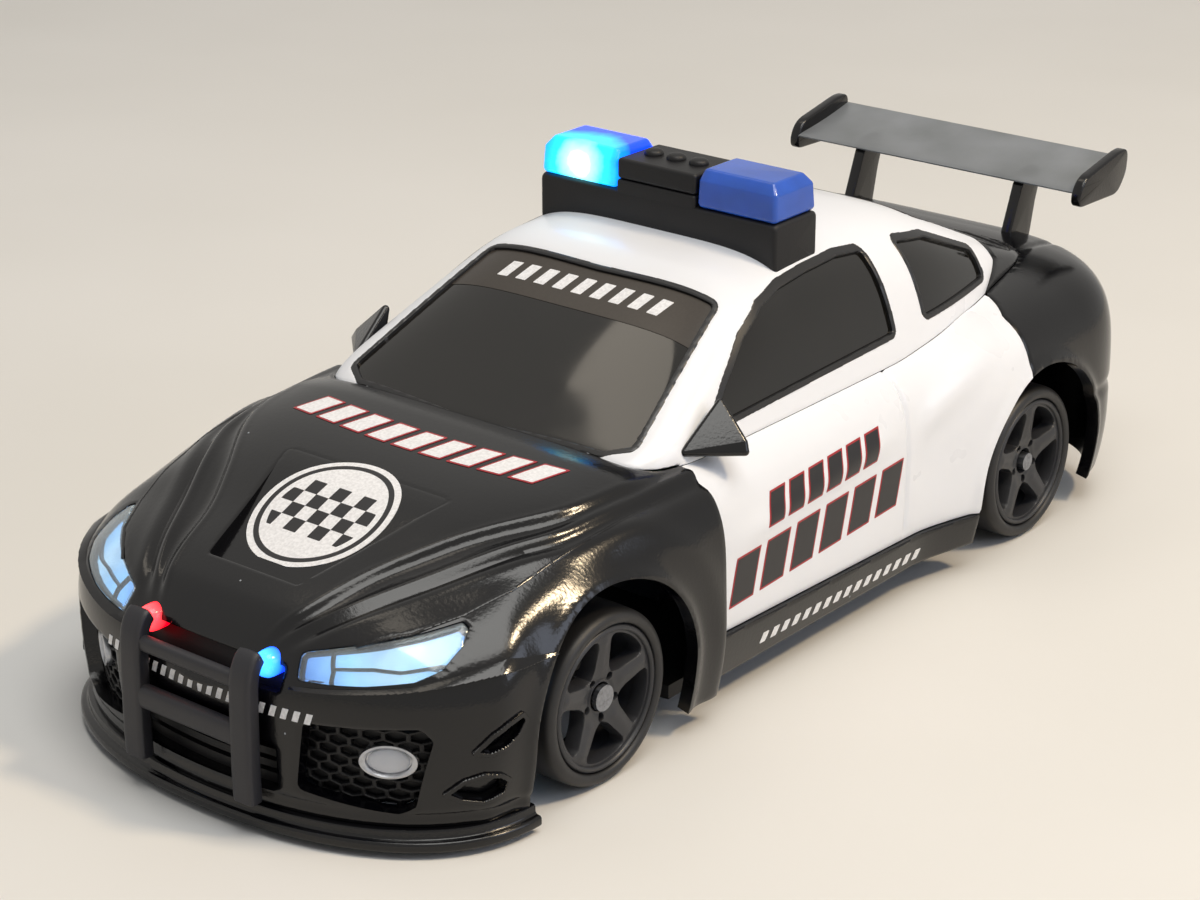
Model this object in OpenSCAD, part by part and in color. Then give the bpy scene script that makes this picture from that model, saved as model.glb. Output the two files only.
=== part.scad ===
// Palm-sized radio-controlled police drift car, about 1:43, as it comes apart on a bench.
// Millimetres. +Z is up, the nose points to -Y and the car's left side is +X.
// The origin is on the floor, under the middle of the car.

/* [Wheels and axles] */
// Distance between the two axles
wheelbase = 61; // [56:0.5:66]
// Distance between the middle planes of the left and right tyres
track = 37.6; // [36.8:0.1:38.6]
// Outer diameter of a tyre
tyre_d = 14.2; // [13.4:0.1:14.8]
// Width of a tyre
tyre_w = 5.6; // [5:0.1:6]
// Diameter of the rim that the tyre sits on
rim_d = 11.8; // [11:0.1:12.2]
// Number of spokes in a rim
spokes = 5; // [4:1:8]
// Diameter of the steel axles
axle_d = 1.6; // [1.2:0.1:1.8]

/* [Steering] */
// Distance from the middle plane of a tyre in to its kingpin
kingpin_offset = 5.9; // [5.6:0.1:6.3]
// Diameter of a kingpin
kingpin_d = 1.2; // [1:0.1:1.4]
// Steering arm length, from the kingpin back to the tie rod
arm_len = 4.2; // [3.8:0.1:4.6]
// Largest steering angle to each side, in degrees
steer_max = 25; // [15:1:26]

/* [Drive] */
// Gear module of the drive pair
gear_module = 0.35; // [0.33:0.01:0.37]
// Teeth of the gear on the rear axle
axle_teeth = 24; // [22:1:26]
// Teeth of the pinion on the motor
pinion_teeth = 10; // [10:1:12]
// Diameter of the motor can
motor_d = 7; // [6:0.1:7.4]
// Length of the motor can
motor_len = 16; // [12:0.5:17]

/* [Body shell] */
// Distance from the front axle to the bumper face
nose_len = 22; // [20.5:0.25:24]
// Distance from the rear axle to the rear bumper face
tail_len = 19.7; // [18:0.1:21]
// Width over the front fenders
front_w = 44.8; // [44:0.1:46]
// Width over the doors
door_w = 41.6; // [40.8:0.1:42.4]
// Width over the rear fenders
rear_w = 46; // [45:0.1:47]
// Wall thickness of the moulded shells
wall = 1.2; // [1:0.05:1.4]
// Radius of the wheel arches
arch_r = 9.6; // [9.2:0.1:10]
// Height of the bonnet at its front edge
hood_edge_z = 14.9; // [14:0.1:15.6]
// Height of the cowl, at the foot of the windscreen
cowl_z = 21.9; // [21.4:0.1:22.4]
// Height of the boot deck
deck_z = 23.1; // [22.6:0.1:23.6]
// Height of the roof at its highest point
roof_z = 32.3; // [31:0.1:34]
// Width of the cabin at its foot
cabin_w = 36; // [35:0.1:36.6]

/* [Light bar] */
// Length of the light bar, across the roof
bar_w = 25.2; // [22:0.2:26]
// Depth of the light bar, along the roof
bar_d = 6; // [5:0.1:7]
// Height of the light bar's top above the roof
bar_h = 5.6; // [4.6:0.1:6.6]

/* [Rear wing] */
// Distance between the middles of the wing's end plates
wing_w = 32; // [28:0.5:36]
// Chord of the wing plane
wing_chord = 8.6; // [7:0.1:9.4]
// Height of the wing plane above the floor
wing_z = 28; // [27:0.1:30]

/* [Push bar] */
// Distance between the middles of the two posts
post_spread = 12; // [10:0.5:14]
// Width of a post
post_w = 2.2; // [1.6:0.1:2.6]

/* [Hidden] */
$fn = 48;

// Fits. run_gap is between moving pieces, seat_gap between fixed ones, panel_gap shows as a seam.
run_gap = 0.05;
seat_gap = 0.02;
panel_gap = 0.1;

// Heights and stations that everything else hangs on
axle_z = tyre_d / 2;
front_y = -wheelbase / 2;
rear_y = wheelbase / 2;
bumper_y = front_y - nose_len;
tail_y = rear_y + tail_len;
tyre_x = track / 2;
wheel_in_x = tyre_x - tyre_w / 2;
wheel_out_x = tyre_x + tyre_w / 2;
split_y = front_y + 13.5;          // fender's rear edge, where the door starts
rear_split_y = rear_y - 2.5;       // where the white quarter panel ends

// Body skin: heights of the lower edge, of the widest line and of the sill joint
bumper_bottom_z = 2.2;
sill_bottom_z = 2.6;
waist_z = 9;
tuck = 0.9;                        // how far the sill pulls in below the widest line
belt_z = cowl_z + 0.4;
front_full_y = front_y - 9;        // the nose starts to round off here
rear_full_y = rear_y + 7.5;        // and the tail here
nose_round = 2.2;                  // superellipse powers of the plan and of the sections
tail_round = 2.8;
shoulder_round = 5;
nose_shoulder = 3.3;
roof_round = 4.5;

hood_line = [
  [bumper_y, hood_edge_z - 4.4],
  [bumper_y + 0.9, hood_edge_z - 2.1],
  [bumper_y + 2.5, hood_edge_z],
  [bumper_y + 6, hood_edge_z + (cowl_z - hood_edge_z) * 0.26],
  [front_full_y - 1.5, hood_edge_z + (cowl_z - hood_edge_z) * 0.49],
  [front_y - 3, hood_edge_z + (cowl_z - hood_edge_z) * 0.78],
  [front_y + 4.5, hood_edge_z + (cowl_z - hood_edge_z) * 0.94],
  [split_y, cowl_z],
];
deck_line = [
  [split_y - 4, belt_z],
  [split_y + 36, belt_z + 0.2],
  [rear_y + 5.5, deck_z],
  [tail_y - 6, deck_z],
  [tail_y - 1.6, deck_z - 1.6],
  [tail_y, deck_z - 6],
];

// Cabin: its foot hides inside the lower body
cabin_foot_z = cowl_z - 1.6;
screen_y = front_y + 7.7;          // middle of the windscreen's lower edge
screen_top_y = front_y + 26.3;
roof_peak_y = front_y + 39.5;
cabin_tail_y = rear_y + 12.5;
cabin_full_y = screen_y + 12.8;
cabin_taper_y = rear_y - 12.5;
cabin_taper = 3.5;                 // how much the cabin narrows towards the tail
tumble = 3.2;                      // how much the side glass leans in
roof_line = [
  [screen_y, cabin_foot_z + 0.3],
  [screen_y + 2.3, cowl_z + 0.3],
  [screen_top_y, roof_z - 1.4],
  [screen_top_y + 6.2, roof_z - 0.4],
  [roof_peak_y, roof_z],
  [roof_peak_y + 8, roof_z - 0.4],
  [rear_y - 6.5, roof_z - 1.7],
  [rear_y + 2.5, roof_z - 5.3],
  [cabin_tail_y, deck_z - 0.5],
];

// Interpolation and section helpers

// Slope of a control line at its point i
function slope(line, i) = let (a = max(i - 1, 0), b = min(i + 1, len(line) - 1))
  (line[b][1] - line[a][1]) / (line[b][0] - line[a][0]);
// Index of the stretch of a control line that holds y
function stretch(line, y, i = 0) = i >= len(line) - 2 || y < line[i + 1][0] ? i : stretch(line, y, i + 1);
// Height of a smooth curve through the points of a control line
function curve(line, y) = let (i = stretch(line, y), h = line[i + 1][0] - line[i][0],
  t = min(max((y - line[i][0]) / h, 0), 1), u = 1 - t)
  line[i][1] * u * u * (1 + 2 * t) + slope(line, i) * h * u * u * t
  + line[i + 1][1] * t * t * (1 + 2 * u) - slope(line, i + 1) * h * t * t * u;
// Smooth step from 0 to 1 between a and b
function ease(a, b, y) = let (t = min(max((y - a) / (b - a), 0), 1)) t * t * (3 - 2 * t);
// Quarter of a superellipse: 1 at t = 0 and 0 at t = 1
function bow(t, n) = pow(max(1 - pow(min(max(t, 0), 1), n), 0), 1 / n);
function pow_sin(a, n) = pow(sin(a), 2 / n);
function pow_cos(a, n) = pow(cos(a), 2 / n);

// Half width of the front body and of the body behind it
function front_half(y) = front_w / 2 * bow((front_full_y - y) / (front_full_y - bumper_y), nose_round);
function rear_half(y) = bow((y - rear_full_y) / (tail_y - rear_full_y), tail_round)
  * (door_w + (rear_w - door_w) * ease(rear_y - 18, rear_y - 6, y)) / 2;
function cabin_half(y) = cabin_w / 2 * bow((cabin_full_y - y) / (cabin_full_y - screen_y), 5)
  - cabin_taper * ease(cabin_taper_y, cabin_tail_y + 4, y);

side_steps = 2;
top_steps = 9;
// Half of a lower section, from the sill up to the middle of the top
function lower_half(half, bottom, top, n) = concat(
  [for (i = [0 : side_steps - 1]) let (t = i / side_steps)
    [half - tuck * (1 - t) * (1 - t), bottom + (waist_z - bottom) * t]],
  [for (i = [0 : top_steps]) let (a = 90 * i / top_steps)
    [half * pow_cos(a, n), waist_z + (top - waist_z) * pow_sin(a, n)]]);
// The shoulder softens from the cowl to the nose
function front_round(y) = nose_shoulder + (shoulder_round - nose_shoulder) * ease(front_y - 15, front_y + 6, y);
// Half of a cabin section, from its foot up to the middle of the roof
function cabin_section(half, foot, top) = let (h = top - foot)
  [for (i = [0 : top_steps]) let (a = 90 * i / top_steps, t = pow_sin(a, roof_round))
    [(half - tumble * t * h / (roof_z - cabin_foot_z)) * pow_cos(a, roof_round), foot + h * t]];
// Both halves as one ring at station y
function ring(y, half) = concat([for (p = half) [p[0], y, p[1]]],
  [for (i = [len(half) - 2 : -1 : 0]) [-half[i][0], y, half[i][1]]]);

// Solid through a row of rings that all have as many points
module loft(rings) {
  n = len(rings[0]);
  m = len(rings);
  polyhedron(points = [for (r = rings) each r], faces = concat(
    [[for (i = [n - 1 : -1 : 0]) i]],
    [for (j = [0 : m - 2], i = [0 : n - 1]) [j * n + i, (j + 1) * n + (i + 1) % n, (j + 1) * n + i]],
    [for (j = [0 : m - 2], i = [0 : n - 1]) [j * n + i, j * n + (i + 1) % n, (j + 1) * n + (i + 1) % n]],
    [[for (i = [0 : n - 1]) (m - 1) * n + i]]));
}
// Free-form skins stay one mesh
module as_mesh() resize([0, 0, 0]) children();

// Stations close up towards the rounded ends
function nose_stations(inset) = let (far = front_full_y - bumper_y - inset)
  concat([for (i = [11 : -1 : 1]) front_full_y - far * sin(7.75 * i)],
    [for (i = [0 : 6]) front_full_y + (split_y + 4 - front_full_y) * i / 6]);
function tail_stations(inset) = let (far = tail_y - rear_full_y - inset)
  concat([for (i = [0 : 11]) split_y - 4 + (rear_full_y - split_y + 4) * i / 12],
    [for (i = [0 : 10]) rear_full_y + far * sin(8.4 * i)]);

// The front body, the body behind it and the cabin as solids, all pulled in by inset
module front_body(inset = 0)
  loft([for (y = nose_stations(inset)) let (far = front_full_y - bumper_y,
      at = y > front_full_y ? y : front_full_y - (front_full_y - y) * far / (far - inset))
    ring(y, lower_half(front_half(at) - inset, bumper_bottom_z - (inset > 0 ? inset : 0),
      curve(hood_line, at) - inset, front_round(at)))]);
module back_body(inset = 0)
  loft([for (y = tail_stations(inset)) let (far = tail_y - rear_full_y,
      at = y < rear_full_y ? y : rear_full_y + (y - rear_full_y) * far / (far - inset))
    ring(y, lower_half(rear_half(at) - inset, sill_bottom_z - (inset > 0 ? inset : 0),
      curve(deck_line, at) - inset, shoulder_round))]);
module cabin(inset = 0)
  loft([for (i = [0 : 22]) let (lead = 2.2 * inset, t = i / 22,
      y = screen_y + lead + (cabin_tail_y - screen_y - 2 * lead) * (t < 0.3 ? t * t / 0.6 + t / 2 : t),
      at = screen_y + (y - screen_y - lead) * (cabin_tail_y - screen_y) / (cabin_tail_y - screen_y - 2 * lead))
    ring(y, cabin_section(cabin_half(at) - inset, cabin_foot_z - max(inset, 0), curve(roof_line, at) - inset))]);

// Outlines that cut the skins
arch_depth = 4;                    // how far the arch cut reaches in past the wheel
module arch(y) both_sides() translate([wheel_in_x - arch_depth, y, axle_z]) rotate([0, 90, 0]) {
  cylinder(r = arch_r, h = 30);
  translate([0, -arch_r, 0]) cube([axle_z + 1, 2 * arch_r, 30]);
}
// Prism across the car from an outline of [y, z] points
module side_prism(points, depth = 60) rotate([90, 0, 90]) linear_extrude(depth, center = true) polygon(points);
// Prism up from an outline of [x, y] points on the left, mirrored to the right
module plan_prism(points, low, high) translate([0, 0, low]) linear_extrude(high - low)
  polygon(concat(points, [for (i = [len(points) - 1 : -1 : 0]) [-points[i][0], points[i][1]]]));
module both_sides() {
  children();
  mirror([1, 0, 0]) children();
}

screen_outline = [[0, screen_y + 1.2], [13, screen_y + 1.9], [15.2, screen_y + 3.4], [12.2, screen_top_y - 0.6], [0, screen_top_y - 0.9]];
rear_outline = [[0, rear_y - 5.6], [11, rear_y - 5.2], [13.2, rear_y + 8.6], [0, rear_y + 9.4]];
door_window = [[screen_y + 9, belt_z - 0.1], [screen_top_y + 2.2, roof_z - 2.6], [screen_top_y + 9, roof_z - 1.9],
  [roof_peak_y + 4.4, roof_z - 1.8], [roof_peak_y + 4.8, belt_z + 0.7]];
quarter_window = [[roof_peak_y + 9.2, belt_z + 0.9], [roof_peak_y + 8.8, roof_z - 2.2], [rear_y - 7.6, roof_z - 3],
  [rear_y - 0.4, roof_z - 6], [rear_y - 0.2, belt_z + 1.2]];
// White quarter panel and pillar in front of this line, black boot behind it
rear_joint = [[rear_split_y, -5], [rear_split_y, belt_z - 1], [rear_y + 3, deck_z + 1.2], [rear_y + 5, roof_z + 5]];
door_bottom = [[split_y - 9, 7], [rear_y, 5.3]];

module behind_rear_joint(gap = 0) translate([0, gap, 0])
  side_prism(concat(rear_joint, [[tail_y + 20, roof_z + 5], [tail_y + 20, -5]]));
module below_door(gap = 0) translate([0, 0, gap])
  side_prism([[split_y - 9, -5], door_bottom[0], door_bottom[1], [rear_y, -5]]);

// Screw places: front pair, middle pair under the doors, rear pair
screw_places = [[9, bumper_y + 7.5], [door_w / 2 - wall - 3.4, 3], [9, tail_y - 6.5]];
screw_r = 0.7;
screw_head_r = 1.3;
boss_r = 2;
floor_z = 1.6;                     // chassis floor, underside and top
floor_top_z = 2.8;
boss_foot_z = floor_top_z + panel_gap;
// Screw boss with a web out to the shell's wall
module boss(p, top) both_sides() {
  translate([p[0], p[1], boss_foot_z]) cylinder(r = boss_r, h = top - boss_foot_z, $fn = 24);
  translate([p[0], p[1] - 0.8, boss_foot_z]) cube([p[0] > 12 ? 5 : 0.1, 1.6, top - boss_foot_z]);
}
module boss_hole(p) both_sides() translate([p[0], p[1], 0]) cylinder(r = screw_r + run_gap, h = 11, $fn = 20);

// Headlamp, fog lamp and grille places on the nose, as [x, z] outlines seen from the front.
// nose_x gives a place as a share of the nose's half width.
function nose_x(share) = front_w / 2 * share;
lamp_outline = [[nose_x(0.397), hood_edge_z - 2.2], [nose_x(0.411), hood_edge_z - 0.4], [nose_x(0.603), hood_edge_z + 0.9],
  [nose_x(0.799), hood_edge_z + 2.1], [nose_x(0.844), hood_edge_z + 0.9], [nose_x(0.799), hood_edge_z - 1.1],
  [nose_x(0.625), hood_edge_z - 1.9]];
lamp_holes = [[nose_x(0.518), hood_edge_z - 0.7], [nose_x(0.696), hood_edge_z + 0.3]];
fog_outline = [[nose_x(0.411), 4.2], [nose_x(0.446), 9.8], [nose_x(0.8125), 10.4], [nose_x(0.844), 9.4],
  [nose_x(0.786), 3.9], [nose_x(0.737), 3.2]];
fog_lamp_at = [nose_x(0.6875), 7];
fog_lamp_r = 1.75;
mouth_half = nose_x(0.339);        // the middle opening behind the push bar
mouth_z = [3.4, 7.4];
slot_half = nose_x(0.357);         // the narrow slot under the bonnet's edge
slot_z = [hood_edge_z - 3.3, hood_edge_z - 1.4];
tail_lamp_outline = [[9, deck_z - 6.6], [9, deck_z - 3.4], [18.4, deck_z - 3.4], [19.6, deck_z - 5.2], [18.8, deck_z - 6.6]];
// Prism along the car from an outline of [x, z] points, grown by grow
module front_prism(points, from, to, grow = 0) translate([0, to, 0]) rotate([90, 0, 0])
  linear_extrude(to - from) offset(delta = grow) polygon(points);
module front_box(half, z, from, to, grow = 0)
  translate([-half - grow, from, z[0] - grow]) cube([2 * (half + grow), to - from, z[1] - z[0] + 2 * grow]);
nose_from = bumper_y - 5;
nose_to = front_full_y - 1;

// Layer of a skin between two depths
module nose_layer(outer, inner) difference() {
  front_body(outer);
  front_body(inner);
}
module cabin_layer(outer, inner) difference() {
  cabin(outer);
  cabin(inner);
}
module back_layer(outer, inner) difference() {
  back_body(outer);
  back_body(inner);
}

// Body shells

module front_clip() color([0.06, 0.06, 0.07]) as_mesh() difference() {
  union() {
    nose_layer(0, wall);
    intersection() {
      boss(screw_places[0], hood_edge_z + 1.5);
      front_body(wall / 2);
    }
  }
  boss_hole(screw_places[0]);
  translate([-50, split_y, -5]) cube([100, 40, 60]);
  cabin(-panel_gap);
  arch(front_y);
  both_sides() {
    front_prism(lamp_outline, nose_from, nose_to);
    front_prism(fog_outline, nose_from, nose_to);
  }
  front_box(mouth_half, mouth_z, nose_from, bumper_y + 3);
  front_box(slot_half, slot_z, nose_from, bumper_y + 3);
}

module cabin_windows() {
  plan_prism(screen_outline, cabin_foot_z - 2, roof_z + 5);
  plan_prism(rear_outline, cabin_foot_z - 2, roof_z + 5);
  side_prism(door_window);
  side_prism(quarter_window);
}
module upper_shell(inset) {
  back_body(inset);
  cabin(inset);
}

module cabin_shell() color([0.93, 0.93, 0.92]) as_mesh() difference() {
  union() {
    difference() {
      union() {
        cabin();
        intersection() {
          back_body();
          translate([-50, split_y + panel_gap, -5]) cube([100, 100, 60]);
        }
      }
      upper_shell(wall);
    }
    intersection() {
      boss(screw_places[1], 12);
      back_body(wall / 2);
    }
  }
  boss_hole(screw_places[1]);
  behind_rear_joint();
  below_door();
  arch(rear_y);
  cabin_windows();
}

module rear_clip() color([0.06, 0.06, 0.07]) as_mesh() difference() {
  union() {
    difference() {
      upper_shell(0);
      upper_shell(wall);
    }
    intersection() {
      boss(screw_places[2], deck_z);
      back_body(wall / 2);
    }
  }
  boss_hole(screw_places[2]);
  difference() {
    translate([-50, -100, -50]) cube([100, 300, 150]);
    behind_rear_joint(panel_gap);
  }
  arch(rear_y);
  cabin_windows();
  both_sides() front_prism(tail_lamp_outline, tail_y - 8, tail_y + 5);
}

// Sill strips under the doors, a little proud of them
module side_skirts() color([0.07, 0.07, 0.08]) as_mesh() intersection() {
  difference() {
    back_body(-0.4);
    back_body(wall);
    arch(rear_y);
  }
  below_door(-panel_gap);
  translate([-50, split_y + panel_gap, -5]) cube([100, rear_y - split_y, 60]);
}

// Two-step lip under the bumper, an outline of the nose's plan grown by grow
function nose_plan(grow) = let (far = front_full_y - bumper_y)
  [for (i = [0 : 20]) let (a = 90 * i / 20)
    [(front_w / 2 - tuck + grow) * pow_cos(a, nose_round), front_full_y - (far + grow) * pow_sin(a, nose_round)]];
module lip_step(grow, low, high) plan_prism(nose_plan(grow), low, high);
module front_splitter() color([0.05, 0.05, 0.05]) difference() {
  union() {
    lip_step(0.3, 1.4, bumper_bottom_z - seat_gap);
    lip_step(0.9, 0.5, 1.4);
  }
  translate([0, 0, -4]) linear_extrude(10) polygon([[-kingpin_x + 1.9, front_full_y + 1],
    [-floor_nose_x - 0.2, bumper_y + 8], [-10.2, bumper_y + 3.2], [10.2, bumper_y + 3.2],
    [floor_nose_x + 0.2, bumper_y + 8], [kingpin_x - 1.9, front_full_y + 1]]);
}

module rear_diffuser() color([0.05, 0.05, 0.05]) {
  translate([-13, tail_y - 5, 1.6]) cube([26, 4.4, sill_bottom_z - seat_gap - 1.6]);
  for (x = [-9, -3, 3, 9]) translate([x - 0.4, tail_y - 5, 0.9]) cube([0.8, 4.4, 0.7]);
}

// Front fittings

post_line = [[bumper_y - 0.2, 3], [bumper_y - 1.4, 3.2], [bumper_y - 1.5, 5], [bumper_y - 1.3, 10.5], [bumper_y - 0.9, 14.6],
  [bumper_y + 0.2, 15.9], [bumper_y + 1.6, 16], [bumper_y + 1.6, 14.4], [bumper_y + 0.5, 13.6], [bumper_y + 0.6, 9]];
module push_bar() color([0.05, 0.05, 0.05]) as_mesh() difference() {
  union() {
    for (s = [-1, 1]) translate([s * post_spread / 2, 0, 0]) side_prism(post_line, post_w);
    translate([0, bumper_y - 0.6, 14.2]) rotate([0, 90, 0]) cylinder(r = 0.7, h = post_spread, center = true, $fn = 20);
    translate([0, bumper_y - 0.8, 8]) rotate([0, 90, 0]) cylinder(r = 0.7, h = post_spread, center = true, $fn = 20);
  }
  front_body(-seat_gap);
}

lamp_in = 1.6;                     // from the slot's end in to the middle of a lamp
lamp_at = [slot_half - lamp_in, (slot_z[0] + slot_z[1]) / 2];
// Each lamp stands through the slot and ends on the insert behind it
module push_bar_lamp(s) as_mesh() difference() {
  translate([s * lamp_at[0], bumper_y + 0.75, lamp_at[1]]) rotate([-90, 0, 0]) cylinder(r = 0.85, h = 2.1, $fn = 24);
  front_body(wall);
}
module push_bar_lamp_red() color([0.9, 0.05, 0.1]) push_bar_lamp(-1);
module push_bar_lamp_blue() color([0.05, 0.15, 0.95]) push_bar_lamp(1);

// Blocks behind the two openings, their faces following the shell's inside
module grille_inserts() color([0.04, 0.04, 0.04]) as_mesh() intersection() {
  front_body(wall + seat_gap);
  union() {
    front_box(mouth_half, mouth_z, nose_from, bumper_y + 2.6, 0.8);
    front_box(slot_half, slot_z, nose_from, bumper_y + 3.6, 0.25);
  }
}

module fog_grilles() color([0.04, 0.04, 0.04]) as_mesh() difference() {
  intersection() {
    nose_layer(wall + seat_gap, wall + 0.7);
    both_sides() front_prism(fog_outline, nose_from, nose_to, 0.7);
  }
  both_sides() translate([fog_lamp_at[0], nose_from, fog_lamp_at[1]]) rotate([-90, 0, 0])
    cylinder(r = fog_lamp_r + run_gap, h = 14, $fn = 32);
}
// The lamp's back meets the mesh's slanting face
fog_lamp_y = bumper_y + 4.3;
module fog_lamps() color([0.9, 0.9, 0.88]) both_sides()
  translate([fog_lamp_at[0], fog_lamp_y, fog_lamp_at[1]]) rotate([-90, 0, 0]) cylinder(r = fog_lamp_r, h = 2.8);

module headlamp_lenses() color([0.75, 0.9, 1, 0.5]) as_mesh() intersection() {
  nose_layer(0.1, 0.8);
  both_sides() front_prism(lamp_outline, nose_from, nose_to, -panel_gap);
}
module headlamp_housings() color([0.8, 0.82, 0.85]) as_mesh() difference() {
  intersection() {
    nose_layer(wall + seat_gap, wall + 2);
    both_sides() front_prism(lamp_outline, nose_from, nose_to, 0.5);
  }
  both_sides() {
    for (p = lamp_holes) translate([p[0], nose_from, p[1]]) rotate([-90, 0, 0]) cylinder(r = 1.05, h = 14, $fn = 20);
    translate([screw_places[0][0], screw_places[0][1], 0]) cylinder(r = boss_r + 0.3, h = 30, $fn = 24);
  }
}

// Glass

module pane(points, shrink) linear_extrude(30) offset(delta = -shrink) polygon(points);
module windscreen() color([0.1, 0.1, 0.12, 0.7]) as_mesh() intersection() {
  cabin_layer(0.25, 0.95);
  translate([0, 0, cabin_foot_z + panel_gap]) pane(concat(screen_outline,
    [for (i = [3 : -1 : 1]) [-screen_outline[i][0], screen_outline[i][1]]]), panel_gap);
}
module rear_pane(shrink) translate([0, 0, cabin_foot_z - 1]) pane(concat(rear_outline,
  [for (i = [2 : -1 : 1]) [-rear_outline[i][0], rear_outline[i][1]]]), shrink);
module rear_window() color([0.1, 0.1, 0.12, 0.7]) as_mesh() intersection() {
  cabin_layer(0.25, 0.95);
  rear_pane(panel_gap);
}
module side_pane(points) rotate([90, 0, 90]) linear_extrude(60, center = true) offset(delta = -panel_gap) polygon(points);
module side_windows() color([0.1, 0.1, 0.12, 0.7]) as_mesh() intersection() {
  cabin_layer(0.25, 0.95);
  union() {
    side_pane(door_window);
    side_pane(quarter_window);
  }
  difference() {
    translate([-40, -60, cabin_foot_z - 1]) cube([80, 120, 40]);
    translate([-8, -60, 0]) cube([16, 120, 60]);
    rear_pane(-0.15);
  }
}

mirror_y = split_y + 1.6;
module mirrors() color([0.05, 0.05, 0.05]) as_mesh() difference() {
  both_sides() hull() {
    translate([cabin_w / 2 - 1.2, mirror_y - 1.4, belt_z - 0.6]) sphere(r = 0.5, $fn = 12);
    translate([cabin_w / 2 - 0.8, mirror_y + 1.4, belt_z - 0.4]) sphere(r = 0.5, $fn = 12);
    translate([cabin_w / 2 + 3.5, mirror_y + 2.6, belt_z - 0.6]) sphere(r = 0.5, $fn = 12);
    translate([cabin_w / 2 + 3.3, mirror_y + 2.4, belt_z + 0.6]) sphere(r = 0.4, $fn = 12);
    translate([cabin_w / 2 + 0.6, mirror_y + 2, belt_z + 2.1]) sphere(r = 0.4, $fn = 12);
  }
  cabin(-seat_gap);
  back_body(-seat_gap);
  front_body(-seat_gap);
}

// Roof light bar

bar_y = screen_top_y + 9.4;
bar_base_z = roof_z + 2.3;
bar_top_z = roof_z + bar_h;
bar_cap_half = 4.2;                // half length of the black middle piece
module bar_box(x0, x1, low, high, pull = 0) translate([x0, bar_y - bar_d / 2 + pull, low])
  cube([x1 - x0, bar_d - 2 * pull, high - low]);
module light_bar_base() color([0.05, 0.05, 0.05]) as_mesh() difference() {
  union() {
    bar_box(-bar_w / 2, bar_w / 2, roof_z - 2, bar_base_z);
    bar_box(-bar_cap_half, bar_cap_half, roof_z - 2, bar_base_z + 1, 0.3);
  }
  cabin(-seat_gap);
}
module light_bar_lens(s) mirror([s > 0 ? 0 : 1, 0, 0]) difference() {
  bar_box(bar_cap_half + panel_gap, bar_w / 2 - 0.1, bar_base_z + seat_gap, bar_top_z, 0.1);
  bar_box(bar_cap_half + panel_gap + 0.6, bar_w / 2 - 0.7, bar_base_z - 1, bar_top_z - 0.6, 0.7);
}
module light_bar_lens_left() color([0.1, 0.3, 0.95, 0.6]) light_bar_lens(1);
module light_bar_lens_right() color([0.2, 0.6, 1, 0.6]) light_bar_lens(-1);
module light_bar_cover() color([0.06, 0.06, 0.06]) {
  bar_box(-bar_cap_half, bar_cap_half, bar_base_z + 1 + seat_gap, bar_top_z - 0.5, 0.1);
  for (x = [-2.4, 0, 2.4]) translate([x, bar_y, bar_top_z - 0.5]) cylinder(r = 0.8, h = 0.5);
}
module light_bar_leds() color([0.9, 0.95, 1]) for (x = [-10, -6.8, 6.8, 10])
  translate([x - 1, bar_y - 1, bar_base_z + seat_gap]) cube([2, 2, 0.9]);

// Rear wing and lamps

wing_y = tail_y - 0.6;
module wing_plane() color([0.25, 0.25, 0.27, 0.7]) translate([0, wing_y, wing_z]) rotate([90, 0, 90])
  linear_extrude(wing_w - 1 - 2 * seat_gap, center = true)
    polygon([[-wing_chord / 2, 0], [-wing_chord / 2 + 0.6, 0.5], [-wing_chord / 6, 0.8], [wing_chord / 4, 1],
      [wing_chord / 2, 1.7], [wing_chord / 2, 1.3], [wing_chord / 4, 0.3], [-wing_chord / 6, -0.1], [-wing_chord / 2 + 0.6, -0.3]]);
module wing_end_plates() color([0.05, 0.05, 0.05]) for (s = [-1, 1]) translate([s * wing_w / 2, wing_y, wing_z])
  rotate([90, 0, 90]) linear_extrude(1, center = true)
    polygon([[-4.4, -0.6], [-3.6, 1.4], [-1, 2], [3.6, 2.6], [4.4, 1.8], [4.4, -0.4], [3.4, -1.4], [-2.8, -1.6]]);
module wing_stays() color([0.05, 0.05, 0.05]) as_mesh() difference() {
  for (s = [-1, 1]) translate([s * 9, 0, 0]) side_prism([[wing_y - 5.6, deck_z - 2], [wing_y - 2.6, wing_z - 0.3 - seat_gap],
    [wing_y - 0.8, wing_z - 0.15 - seat_gap], [wing_y + 0.2, wing_z - 0.4], [wing_y - 1.4, deck_z - 2]], 1.1);
  back_body(-seat_gap);
  cabin(-seat_gap);
  translate([0, wing_y, wing_z]) side_prism([[-wing_chord / 2, 0.1], [-wing_chord / 2, -0.32], [-wing_chord / 2 + 0.6, -0.32],
    [-wing_chord / 6, -0.12], [wing_chord / 4, 0.28], [wing_chord / 4, 3], [-wing_chord / 2, 3]]);
}
module tail_lamps() color([0.7, 0.05, 0.05, 0.7]) as_mesh() intersection() {
  back_layer(0.1, 0.9);
  both_sides() front_prism(tail_lamp_outline, tail_y - 8, tail_y + 5, -panel_gap);
}

// Chassis and its fittings

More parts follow.
